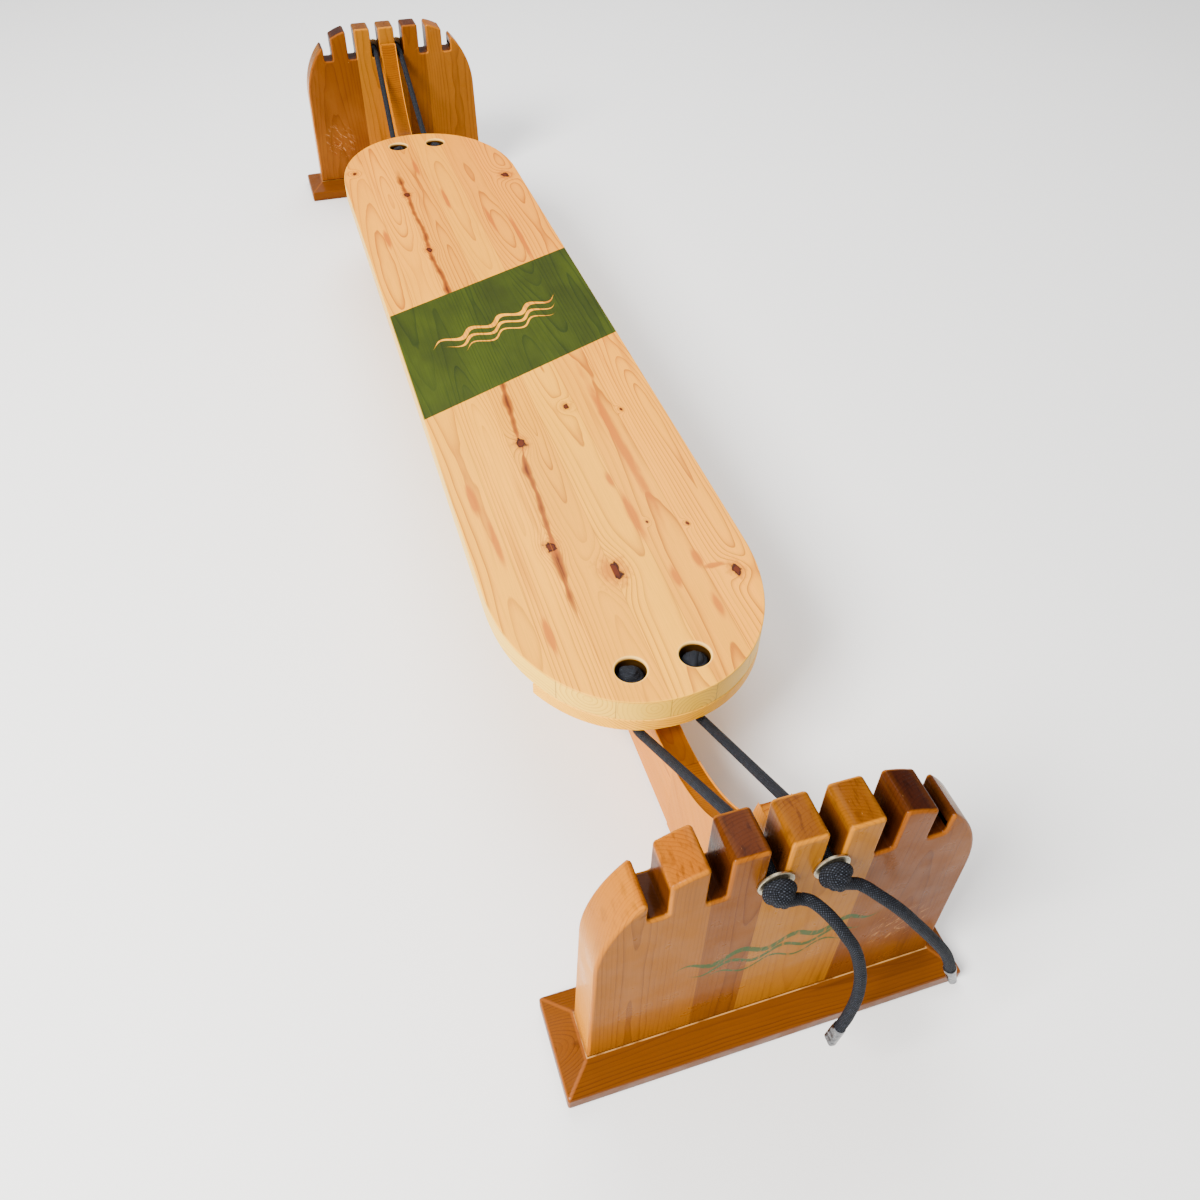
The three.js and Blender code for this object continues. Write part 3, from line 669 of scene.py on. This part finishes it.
def deck_reach(x):
    """How far the deck runs from its middle, at a place across it."""
    share = abs(x) / DECK_HALF_WIDTH
    return DECK_HALF_LENGTH - DECK_CAP + DECK_CAP * max(0.0, 1 - share ** DECK_POWER) ** (1 / DECK_POWER)


def cap_points(half, count):
    """The near end's curve, over half a width to each side."""
    steps = [half * math.cos(math.pi * i / count) for i in range(count + 1)]
    return [(-x, -deck_reach(x)) for x in steps]


def spun(name, profile, sides, shape=None):
    """A closed body of rings about Z; a profile that starts and ends on the axis is capped there.
    shape gives the two radii at an angle, for bodies that aren't round."""
    bm = bmesh.new()
    rings = []
    for r, z in profile:
        ring = []
        for angle in around(sides if r else 1):
            sx, sy = shape(angle, r, z) if shape and r else (r, r)
            ring.append(bm.verts.new((sx * math.cos(angle), sy * math.sin(angle), z)))
        rings.append(ring)
    closed = profile[0][0] > 0
    for a, b in zip(rings, rings[1:] + ([rings[0]] if closed else [])):
        bridge(bm, a, b)
    return mesh_from(bm, name)


# ---- rope

STRANDS, PICK, AROUND, STEP = 13, 0.0024, 39, 0.00085
STRAND_DEPTH = 0.00040
FERRULE_LENGTH, FERRULE_R = 0.025, 0.0056
SQUEEZE = 0.58  # a rope's thickness inside its ferrule, as a share


def smooth_path(points, closed=False):
    """Evenly spaced points on one smooth curve through the given ones."""
    pts = [Vector(p) for p in points]
    n = len(pts)
    dense = []
    for i in range(n if closed else n - 1):
        if closed:
            p0, p1, p2, p3 = (pts[(i + k) % n] for k in (-1, 0, 1, 2))
        else:
            p1, p2 = pts[i], pts[i + 1]
            p0 = pts[i - 1] if i else p1 * 2 - p2
            p3 = pts[i + 2] if i + 2 < n else p2 * 2 - p1
        for k in range(24):
            t = k / 24
            dense.append(0.5 * (2 * p1 + (p2 - p0) * t + (2 * p0 - 5 * p1 + 4 * p2 - p3) * t ** 2
                                + (3 * p1 - p0 - 3 * p2 + p3) * t ** 3))
    dense.append(pts[0] if closed else pts[-1])
    total = sum((b - a).length for a, b in zip(dense, dense[1:]))
    count = max(4, round(total / STEP))
    out, want, gone = [dense[0]], total / count, 0.0
    for a, b in zip(dense, dense[1:]):
        span = (b - a).length
        while gone + span >= want * len(out) and len(out) < count:
            out.append(a.lerp(b, (want * len(out) - gone) / max(span, 1e-9)))
        gone += span
    if not closed:
        out.append(dense[-1])
    return out, total


def braid(u, v):
    """Height of the braid's surface, 0 to 1, at u strands round the rope and v picks along it."""
    a, b = u + v, u - v
    fa, fb = a % 1 - 0.5, b % 1 - 0.5
    over = (math.floor(a) + math.floor(b)) % 2 == 0
    across, along = (fa, fb) if over else (fb, fa)
    return max(0.0, math.cos(math.pi * across)) ** 0.7 * (0.62 + 0.38 * math.cos(math.pi * along))


def braided(bm, points, closed=False, radius=ROPE_R, squeezed=0.0):
    """Adds a braided rope along a path to a bmesh, thinner over its last squeezed metres."""
    uv = bm.loops.layers.uv.verify()
    path, _ = smooth_path(points, closed=closed)
    n = len(path)
    spans = n if closed else n - 1
    tangents = []
    for i in range(n):
        before, after = (i - 1, (i + 1) % n) if closed else (max(0, i - 1), min(n - 1, i + 1))
        tangents.append((path[after] - path[before]).normalized())
    across = tangents[0].orthogonal().normalized()
    normals = [across]
    for a, b in zip(tangents, tangents[1:]):
        across = a.rotation_difference(b) @ across
        across = (across - b * across.dot(b)).normalized()
        normals.append(across)
    twist = 0.0
    if closed:
        last = tangents[-1].rotation_difference(tangents[0]) @ normals[-1]
        twist = math.atan2(last.cross(normals[0]).dot(tangents[0]), last.dot(normals[0]))
    picks = max(2, 2 * round(n * STEP / PICK / 2))
    rings = []
    for i, (p, t, m) in enumerate(zip(path, tangents, normals)):
        m = Quaternion(t, twist * i / n) @ m
        other = t.cross(m)
        v = picks * i / spans
        ring = []
        for k, angle in enumerate(around(AROUND)):
            r = radius + STRAND_DEPTH * (braid(STRANDS * k / AROUND, v) - 1)
            if not closed:
                r *= 1 - 0.35 * max(0.0, 1 - min(i, n - 1 - i) / 2.0) ** 2
            if (n - 1 - i) * STEP < squeezed:
                r *= SQUEEZE
            ring.append(bm.verts.new(p + (m * math.cos(angle) + other * math.sin(angle)) * r))
        rings.append(ring)
    for i in range(spans):
        a, b = rings[i], rings[(i + 1) % n]
        v0, v1 = picks * i / spans, picks * (i + 1) / spans
        for k in range(AROUND):
            j = (k + 1) % AROUND
            face = bm.faces.new((a[k], a[j], b[j], b[k]))
            for loop, (du, v) in zip(face.loops, ((k, v0), (k + 1, v0), (k + 1, v1), (k, v1))):
                loop[uv].uv = (STRANDS * du / AROUND, v)
    if not closed:
        for ring, centre in ((rings[0], path[0]), (rings[-1], path[-1])):
            bridge(bm, ring, [bm.verts.new(centre)])


def turned(points, turn):
    """Points of the near end, or with a turn of -1 the same points at the far end."""
    return [Vector((turn * p[0], turn * p[1], p[2])) for p in points]


def add_rope(name, paths, node, blend=None):
    """A piece made of braided lengths, each a path with braided's other arguments."""
    bm = bmesh.new()
    for path, how in paths:
        braided(bm, path, **how)
    return add(name, mesh_from(bm, name), ROPE, node, 60.0, False, blend=blend)


def tight_knot(centre, u, v, w, start, turn, lead=(), lobe=False):
    """A tight stopper knot: one turn round the standing part, a second on top of it, and the last strand
    tucked across both, down to where the rope leaves. w points out of the knot."""
    centre, u, v, w = (Vector(p) for p in (centre, u, v, w))
    paths = []
    for radius, height, thick, count in ((0.0086, 0.0, 0.0052, 24), (0.005, 0.0046, 0.0051, 18)):
        loop = [centre + u * (radius * math.cos(t)) + v * (radius * 0.96 * math.sin(t))
                + w * (height + 0.0007 * math.sin(2 * t + start)) for t in around(count)]
        paths.append((turned(loop, turn), {"closed": True, "radius": thick}))
    if lobe:
        loop = [centre + u * (0.0052 + 0.0034 * math.cos(t)) + v * (-0.0082 + 0.003 * math.sin(t))
                + w * (0.0046 - 0.0012 * math.cos(t)) for t in around(12)]
        paths.append((turned(loop, turn), {"closed": True, "radius": 0.0042}))
    tuck = ((-0.0088, 0.005, 0.0016), (-0.0056, 0.0036, 0.0062), (0.0, 0.001, 0.008),
            (0.0056, -0.0026, 0.0078))
    ca, sa = math.cos(start), math.sin(start)
    across = [centre + u * (a * ca - b * sa) + v * (a * sa + b * ca) + w * c for a, b, c in tuck]
    paths.append((turned([*across, *lead], turn), {"radius": 0.0049}))
    return paths


def side_name(side, turn):
    """Left or right as seen from the near end, for a side of the near stand's plan."""
    return "left" if side * turn < 0 else "right"


# the loose tails at the near end, from the stop knot to the ferrule, by their side
TAILS = {
    -1: [
        (-0.008, -0.959, 0.25), (0.000, -0.9635, 0.249), (0.008, -0.972, 0.244), (0.015, -0.98, 0.236),
        (0.021, -0.987, 0.226), (0.027, -0.992, 0.215), (0.031, -0.996, 0.203), (0.034, -0.999, 0.19),
        (0.036, -1.002, 0.177), (0.037, -1.004, 0.164), (0.037, -1.006, 0.151), (0.0365, -1.007, 0.137),
        (0.0355, -1.0075, 0.124), (0.034, -1.008, 0.111), (0.0315, -1.008, 0.097)],
    1: [
        (0.039, -0.9605, 0.25), (0.046, -0.9655, 0.247), (0.054, -0.971, 0.241), (0.0635, -0.9765, 0.233),
        (0.072, -0.98, 0.2235), (0.08, -0.983, 0.2135), (0.0875, -0.9855, 0.203), (0.095, -0.9875, 0.1925),
        (0.102, -0.989, 0.182), (0.1095, -0.991, 0.171), (0.1165, -0.9925, 0.16), (0.123, -0.9935, 0.149),
        (0.129, -0.9945, 0.137), (0.134, -0.9955, 0.125), (0.138, -0.996, 0.113)],
}


def ferrule_mesh():
    """A crimped sleeve along +Z: round at the rope, pinched flat twice, with a rolled open end."""
    length = FERRULE_LENGTH

    def shape(angle, radius, z):
        flat = min(1.0, max(0.0, (z - 0.003) / 0.004))
        pinch = max(math.exp(-((z - middle) / 0.0016) ** 2) for middle in (0.0115, 0.018))
        box = (abs(math.cos(angle)) ** 4 + abs(math.sin(angle)) ** 4) ** -0.25
        square = 1 + (box - 1) * flat * 0.85
        return radius * (square + 0.03 * flat), radius * (square - 0.34 * flat - 0.1 * pinch)

    outer = [(FERRULE_R * (1 - 0.05 * (i in (0, 48))), length * i / 48) for i in range(49)]
    inner = [(0.0048, length), (0.0047, length - 0.0006), (0.0046, length - 0.004), (0, length - 0.0044)]
    return spun("ferrule", [(0, 0.0004), (0.0046, 0.0003), (0.005, 0.0)] + outer + inner, 48, shape)


# ---- cords first

ferrule_shape = ferrule_mesh()
for end, turn in ENDS:
    for side in (-1, 1):
        label = f"{end}_{side_name(side, turn)}"
        route = turned(TAILS[side], turn)
        along = (route[-1] - route[-2]).normalized()
        path = route + [route[-1] + along * d for d in (FERRULE_LENGTH * 0.5, FERRULE_LENGTH - 0.004)]
        squeezed = {"squeezed": FERRULE_LENGTH - 0.0075}
        tail = add_rope(f"{label}_tail", [(path, squeezed)], f"{label}_rope_tail")
        aim = along.to_track_quat("Z", "Y").to_matrix().to_4x4()
        sleeve = add(f"{label}_ferrule_crimped", ferrule_shape, FERRULE, f"{label}_ferrule",
                     matrix=Matrix.Translation(route[-1] + along * 0.0003) @ aim)
        line, length = smooth_path(path)
        round(length + 0.004, 3)
        [tuple(p) for p in line[::3] + [line[-1]]]

# ---- deck and cleats

def flat(u, v, w):
    return u, v, w


near_cap = cap_points(DECK_HALF_WIDTH, 72)
deck_outline = near_cap + [(-u, -v) for u, v in near_cap]
sink = [(SINK_R + 0.0016, DECK_TOP, 0.0), (SINK_R + 0.0008, DECK_TOP - 0.0003, 1.0),
        (SINK_R + 0.0002, DECK_TOP - 0.001, 1.0), (SINK_R, DECK_TOP - 0.002, 0.0),
        (SINK_R, SINK_FLOOR + 0.0005, 0.0), (SINK_R - 0.0006, SINK_FLOOR, 0.0),
        (HOLE_R + 0.0008, SINK_FLOOR, 0.0), (HOLE_R, SINK_FLOOR - 0.001, 0.0), (HOLE_R, DECK_LOW, 0.0)]
holes = [((sx * HOLE_X, sy * HOLE_Y), sink, 56) for sx in (-1, 1) for sy in (-1, 1)]
add("deck_panel", slab("deck", deck_outline, DECK_LOW, DECK_TOP, 0.0014, flat, holes), DECK, "deck_board")

# the cleats follow the deck's end curve, back to a straight inner edge
inner = DECK_HALF_LENGTH - CLEAT_WIDTH
cut = (inner - (DECK_HALF_LENGTH - DECK_CAP)) / DECK_CAP
cleat_half = DECK_HALF_WIDTH * (1 - cut ** DECK_POWER) ** (1 / DECK_POWER)
bore = [(HOLE_R + 0.0007, CLEAT_TOP, 0.0), (HOLE_R, CLEAT_TOP - 0.0007, 0.0),
        (HOLE_R, CLEAT_LOW + 0.001, 0.0), (HOLE_R + 0.001, CLEAT_LOW, 1.0)]
socket = [(0.0023, CLEAT_TOP, 0.0), (0.0023, CLEAT_LOW + 0.0042, 0.0), (0.0043, CLEAT_LOW + 0.001, 0.0),
          (0.0043, CLEAT_LOW, 0.0)]
for end, turn in ENDS:
    outline = [(turn * u, turn * v) for u, v in cap_points(cleat_half, 56)]
    spots = [((sx * HOLE_X, -turn * HOLE_Y), bore, 32) for sx in (-1, 1)]
    spots += [((turn * x, -turn * y), socket, 24) for x, y in CLEAT_SCREWS]
    add(f"{end}_cleat", slab("cleat", outline, CLEAT_LOW, CLEAT_TOP, 0.001, flat, spots), CLEAT,
        f"{end}_deck_cleat")


# ---- stands

def arch_height(x):
    """The upright's top, before the slots are cut."""
    past = max(0.0, abs(x) - ARCH_FLAT) / (ARCH_HALF - ARCH_FLAT)
    return ARCH_SPRING + (ARCH_TOP - ARCH_SPRING) * math.sqrt(max(0.0, 1 - past ** 2))


def arc(cx, cz, r, start, stop):
    """Six points on an arc, angles in degrees."""
    angles = [math.radians(start + (stop - start) * i / 5) for i in range(6)]
    return [(cx + r * math.cos(angle), cz + r * math.sin(angle)) for angle in angles]


def upright_outline():
    """Counter-clockwise seen from -Y, with how far each point is a top face, a slot wall, which the material
    darkens as painted shade, and an end.
    """
    points, tags = [], {"top": [], "slot": [], "flank": []}

    def put(new, **values):
        points.extend(new)
        for name, column in tags.items():
            column.extend([values.get(name, 0.0)] * len(new))

    mouth, bottom = 0.004, 0.0030
    outer_wall = 2.5 * SLOT_PITCH + SLOT_W / 2
    reach = math.acos((outer_wall + mouth + 0.003 - ARCH_FLAT) / (ARCH_HALF - ARCH_FLAT))
    shoulder = [ARCH_FLAT + (ARCH_HALF - ARCH_FLAT) * math.cos(reach * i / 18) for i in range(19)]
    rise = [(UP_FOOT_HALF - (UP_FOOT_HALF - ARCH_HALF) * i / 8, UP_FOOT + (ARCH_SPRING - UP_FOOT) * i / 8)
            for i in range(1, 8)]
    put([(-UP_FOOT_HALF + UP_FOOT_HALF * 2 * i / 24, UP_FOOT) for i in range(25)])
    put(rise, flank=1.0)
    for i, x in enumerate(shoulder):
        put([(x, arch_height(x))], top=min(1.0, i / 14), flank=max(0.35, 1.0 - i / 12))
    for k in range(5, -1, -1):
        middle = (k - 2.5) * SLOT_PITCH
        right_wall, left_wall = middle + SLOT_W / 2, middle - SLOT_W / 2
        zr, zl = arch_height(right_wall + mouth), arch_height(left_wall - mouth)
        put(arc(right_wall + mouth, zr - mouth, mouth, 90, 180), top=0.8)
        put([(right_wall, z) for z in (zr - 0.01, zr - 0.018, SLOT_LOW + 0.012)], slot=1.0)
        put(arc(right_wall - bottom, SLOT_LOW + bottom, bottom, 0, -90), slot=1.0)
        put(arc(left_wall + bottom, SLOT_LOW + bottom, bottom, -90, -180), slot=1.0)
        put([(left_wall, z) for z in (SLOT_LOW + 0.012, zl - 0.018, zl - 0.01)], slot=1.0)
        put(arc(left_wall - mouth, zl - mouth, mouth, 0, 90), top=0.8)
        if k:
            tops = [middle - share * SLOT_PITCH for share in (0.35, 0.5, 0.65)]
            put([(x, arch_height(x)) for x in tops], top=1.0)
    for i, x in reversed(list(enumerate(shoulder))):
        put([(-x, arch_height(x))], top=min(1.0, i / 14), flank=max(0.35, 1.0 - i / 12))
    put([(-x, z) for x, z in reversed(rise)], flank=1.0)
    return points, tags


def knee_height(reach):
    """The top of beam and knee, at a distance from the middle."""
    along = min(max(0.0, reach - ARC_START), ARC_END - ARC_START)
    return BEAM_TOP + ARC_R - math.sqrt(ARC_R ** 2 - along ** 2)


up_points, up_tags = upright_outline()
knee_start, knee_end, knee_foot = JOINT_Y + JOINT_GAP, UP_INNER - 0.0003, UP_MID - BASE_HALF[1] - 0.0003
curve = [knee_start + (ARC_END - JOINT_Y) * i / 26 for i in range(27)]
knee_points = [(-knee_start, BEAM_LOW), *((-y, knee_height(y)) for y in curve),
               (-knee_end, knee_height(ARC_END)), (-knee_end, UP_FOOT + 0.001),
               (-knee_foot, BASE_EDGE + 0.001), (-knee_foot, BEAM_LOW)]
knee_points.reverse()
knee_tags = {"top": [float(z > BEAM_TOP + 0.002 and y > -UP_INNER + 0.001) for y, z in knee_points]}


def base_mesh(turn):
    """The plank under an upright, with bevelled sides and eased edges."""
    bm = bmesh.new()
    foot = UP_FOOT_HALF + 0.0015, (UP_OUTER - UP_INNER) / 2 + 0.0015
    for (half, depth), z in ((BASE_HALF, 0.0), (BASE_HALF, BASE_EDGE), (foot, BASE_TOP)):
        for sx in (-1, 1):
            for sy in (-1, 1):
                bm.verts.new((sx * half, -turn * UP_MID + sy * depth, z))
    bmesh.ops.convex_hull(bm, input=bm.verts)
    bmesh.ops.dissolve_limit(bm, angle_limit=0.01, verts=bm.verts, edges=bm.edges)
    edge = bm.verts.layers.float.new("edge")
    eased = bmesh.ops.bevel(bm, geom=bm.edges[:] + bm.verts[:], offset=0.0022, segments=3, profile=0.5,
                            affect="EDGES")
    broad = 2e-4  # square metres; smaller faces belong to the eased edges
    for vert in eased["verts"]:
        if not any(face.calc_area() > broad for face in vert.link_faces):
            vert[edge] = 1.0
    return mesh_from(bm, "base")


def standing(turn):
    """Lays an upright's outline out across its end of the object."""
    return lambda u, v, w: (turn * u, turn * (w - UP_OUTER), v)


def lengthwise(turn):
    """Lays an outline out along the object's length."""
    return lambda u, v, w: (turn * w, turn * u, v)


for end, turn in ENDS:
    upright = slab("upright", up_points, 0.0, UP_OUTER - UP_INNER, 0.0034, standing(turn), tags=up_tags)
    add(f"{end}_slotted_upright", upright, UPRIGHT, f"{end}_upright")
    knee = slab("knee", knee_points, -BEAM_HALF, BEAM_HALF, 0.0016, lengthwise(turn), tags=knee_tags)
    add(f"{end}_knee", knee, KNEE, f"{end}_knee_brace")
    add(f"{end}_base", base_mesh(turn), BASE, f"{end}_base_plank")

beam_end = JOINT_Y - JOINT_GAP
rise = [ARC_START + (beam_end - ARC_START) * i / 8 for i in range(9)]
beam_points = ([(-beam_end + 2 * beam_end * i / 40, BEAM_LOW) for i in range(41)]
               + [(y, knee_height(y)) for y in reversed(rise)]
               + [(0.6 - 1.2 * i / 30, BEAM_TOP) for i in range(31)]
               + [(-y, knee_height(y)) for y in rise])
beam_tags = {"top": [float(z > BEAM_TOP - 0.002) for _, z in beam_points]}
beam = slab("beam", beam_points, -BEAM_HALF, BEAM_HALF, 0.0016, lengthwise(1), tags=beam_tags)
add("spine", beam, BEAM, "spine_beam")

# ---- ropes, knots and washers

slope = math.atan2(SLOT_Z - LOW_Z, UP_INNER - DECK_HALF_LENGTH)
washer = spun("washer", [
    (0.006, 0.0003), (0.0063, 0.0), (0.0146, 0.0), (0.015, 0.0005), (0.015, 0.0019), (0.0145, 0.0024),
    (0.0105, 0.0025), (0.0064, 0.0025), (0.006, 0.0022)], 64)
knot_face = -UP_OUTER - 0.0028  # where a stop knot sits on its washer


def straight_rope(side):
    """From the stop knot through the slot and down to the deck, and the place where it leaves the slot."""
    x = side * SLOT_X
    slot_end = Vector((x, -UP_INNER, SLOT_Z))
    deck_end = Vector((side * LOW_X, -DECK_HALF_LENGTH, LOW_Z))
    dive = (deck_end - slot_end).normalized()
    path = [(x, knot_face - 0.006, SLOT_Z), (x, -0.94, SLOT_Z), (x, -0.925, SLOT_Z),
            (x, -0.912, SLOT_Z + 0.0003), slot_end + Vector((0, -0.0028, 0.0003)),
            slot_end + dive * 0.004 + Vector((0, 0, 0.0002))]
    path += [slot_end + dive * d for d in (0.014, 0.03, 0.08, 0.13, 0.18, 0.22)] + [deck_end + dive * 0.004]
    return path, [slot_end + Vector((0, -0.006, 0)), slot_end + dive * 0.022]


def deck_lead(side):
    """From the knot in its sink, down the hole and out under the deck's end."""
    bend_y = -HOLE_Y - BEND_R
    bend_end = bend_y - BEND_R * math.sin(slope)
    bend_z = LOW_Z - (bend_end + DECK_HALF_LENGTH) * math.tan(slope) + BEND_R * math.cos(slope)
    places = [(-HOLE_Y, SINK_FLOOR + 0.009), (-HOLE_Y, SINK_FLOOR - 0.004), (-HOLE_Y, bend_z + 0.01)]
    for i in range(11):
        angle = (math.pi / 2 + slope) * i / 10
        places.append((bend_y + BEND_R * math.cos(angle), bend_z - BEND_R * math.sin(angle)))
    places.append((-DECK_HALF_LENGTH + 0.003, LOW_Z - 0.003 * math.tan(slope)))
    inward = (HOLE_X - LOW_X) / (DECK_HALF_LENGTH - HOLE_Y)
    return [(side * (HOLE_X + inward * (y + HOLE_Y)), y, z) for y, z in places]


for end, turn in ENDS:
    for side in (-1, 1):
        label = f"{end}_{side_name(side, turn)}"
        path, bend = straight_rope(side)
        add_rope(f"{label}_rope_braid", [(turned(path, turn), {"radius": 0.00495})], f"{label}_rope",
                 blend=("frame", *turned(bend, turn)))
        # w is short, so that this knot stays under the deck's face
        knot = tight_knot((side * HOLE_X, -HOLE_Y, SINK_FLOOR + 0.008), (1, 0, 0), (0, 1, 0), (0, 0, 0.85),
                          0.6 + side, turn)
        add_rope(f"{label}_deck_end", [(turned(deck_lead(side), turn), {}), *knot], f"{label}_deck_knot")
        # the stop knot's last tuck leads into the tail
        tip = Vector(TAILS[side][0])
        lead = tip + Vector((-0.003, -0.001, 0.0024)), tip + Vector((0.0012, -0.0006, -0.0004))
        knot = tight_knot((side * SLOT_X, knot_face - 0.0052, SLOT_Z - 0.0006), (1, 0, 0), (0, 0, 1),
                          (0, -1, 0), 0.0, turn, lead, lobe=True)
        add_rope(f"{label}_stopper", knot, f"{label}_stop_knot")

        outwards = Vector((0, -turn, 0)).to_track_quat("Z", "Y").to_matrix().to_4x4()
        seat = Matrix.Translation((turn * side * SLOT_X, turn * (-UP_OUTER - 0.0003), SLOT_Z))
        add(f"{label}_washer_ring", washer, WASHER, f"{label}_washer", matrix=seat @ outwards)


# ---- screws and dowels

def screw_mesh(head, shank, length):
    """Countersunk wood screw standing on its head, with a cross recess and a helical thread."""
    bm = bmesh.new()
    sides, pitch, thread_depth, bare = 24, 0.0024, 0.0007, 0.35

    def ring(z, radius, thread=0.0):
        verts = []
        for i, angle in enumerate(around(sides)):
            saw = (z / pitch + i / sides) % 1
            r = radius - thread * (1 - abs(2 * saw - 1) ** 1.5)
            verts.append(bm.verts.new((r * math.cos(angle), r * math.sin(angle), z)))
        return verts

    recess = []
    for i, angle in enumerate(around(sides)):
        r = head * (0.22 if i % 6 else 0.56)
        recess.append(bm.verts.new((r * math.cos(angle), r * math.sin(angle), 0)))
    floor = [bm.verts.new((v.co.x * 0.55, v.co.y * 0.55, 0.0016)) for v in recess]
    rings = [recess, ring(0.0, head * 0.97), ring(0.0005, head), ring(0.0009, head), ring(0.0034, shank)]
    z = 0.0042
    while z < length - 0.006:
        rings.append(ring(z, shank, thread_depth if z > length * bare else 0.0))
        z += 0.0006
    rings += [ring(length - 0.004, shank * 0.7), ring(length - 0.0015, shank * 0.3)]
    rings = [[bm.verts.new((0, 0, 0.0019))], floor, *rings, [bm.verts.new((0, 0, length))]]
    for a, b in zip(rings, rings[1:]):
        bridge(bm, a, b)
    return mesh_from(bm, "screw")


def fluted(angle, r, z):
    return (r - 0.00025 * (0.5 + 0.5 * math.cos(20 * angle)),) * 2


long_screw = screw_mesh(0.0046, 0.0022, 0.0598)
short_screw = screw_mesh(0.004, 0.0019, 0.0318)
half_dowel = [(0, 0.02), (0.0038, 0.02), (0.0049, 0.0185)]
dowel = spun("dowel", [(r, -z) for r, z in half_dowel] + half_dowel[::-1], 80, fluted)
for end, turn in ENDS:
    for i, x in enumerate((-0.11, 0.0, 0.11), 1):
        add(f"{end}_base_fixing_{i}", long_screw, SCREW, f"{end}_base_screw_{i}",
            matrix=Matrix.Translation((turn * x, -turn * UP_MID, 0.0011)))
    for i, (x, y) in enumerate(CLEAT_SCREWS, 1):
        add(f"{end}_cleat_fixing_{i}", short_screw, SCREW, f"{end}_cleat_screw_{i}",
            matrix=Matrix.Translation((turn * x, -turn * y, CLEAT_LOW + 0.0007)))
    for kind, reach, heights in (("upright", UP_INNER, (0.07, 0.19)), ("beam", JOINT_Y, (0.034, 0.084))):
        for i, z in enumerate(heights, 1):
            lying = Matrix.Translation((0, -turn * reach, z)) @ Matrix.Rotation(math.pi / 2, 4, "X")
            add(f"{end}_{kind}_peg_{i}", dowel, DOWEL, f"{end}_{kind}_dowel_{i}", matrix=lying)

# ---- floor and light

bm = bmesh.new()
bmesh.ops.create_grid(bm, x_segments=8, y_segments=8, size=9)
floor_mesh = bpy.data.meshes.new("floor")
bm.to_mesh(floor_mesh)
bm.free()
floor = bpy.data.objects.new("floor", floor_mesh)
scene.collection.objects.link(floor)
g = Graph("floor_paint")
cloud = g.noise(g.x * 1.2, g.y * 1.2, 0.0, detail=3.0)
floor_mesh.materials.append(g.finish(g.mix(cloud, (0.88, 0.88, 0.88), (0.91, 0.91, 0.91)), 0.85))

world = bpy.data.worlds.new("studio")
world.use_nodes = True
world.node_tree.nodes["Background"].inputs[0].default_value = (1, 1, 1, 1)
world.node_tree.nodes["Background"].inputs[1].default_value = 0.7
scene.world = world


def area_light(name, place, target, size, watts, colour=(1, 1, 1)):
    lamp = bpy.data.lights.new(name, "AREA")
    lamp.shape = "RECTANGLE"
    lamp.size, lamp.size_y = size
    lamp.energy = watts
    lamp.color = colour
    obj = bpy.data.objects.new(name, lamp)
    scene.collection.objects.link(obj)
    aim = Vector(target) - Vector(place)
    obj.matrix_world = Matrix.Translation(place) @ aim.to_track_quat("-Z", "Y").to_matrix().to_4x4()


area_light("key", (-2.4, -1.6, 2.6), (0, -0.3, 0.1), (1.6, 1.6), 410, (1.0, 0.98, 0.94))
area_light("sky", (0.4, 1.6, 3.0), (0, 0, 0.1), (2.4, 2.4), 120)
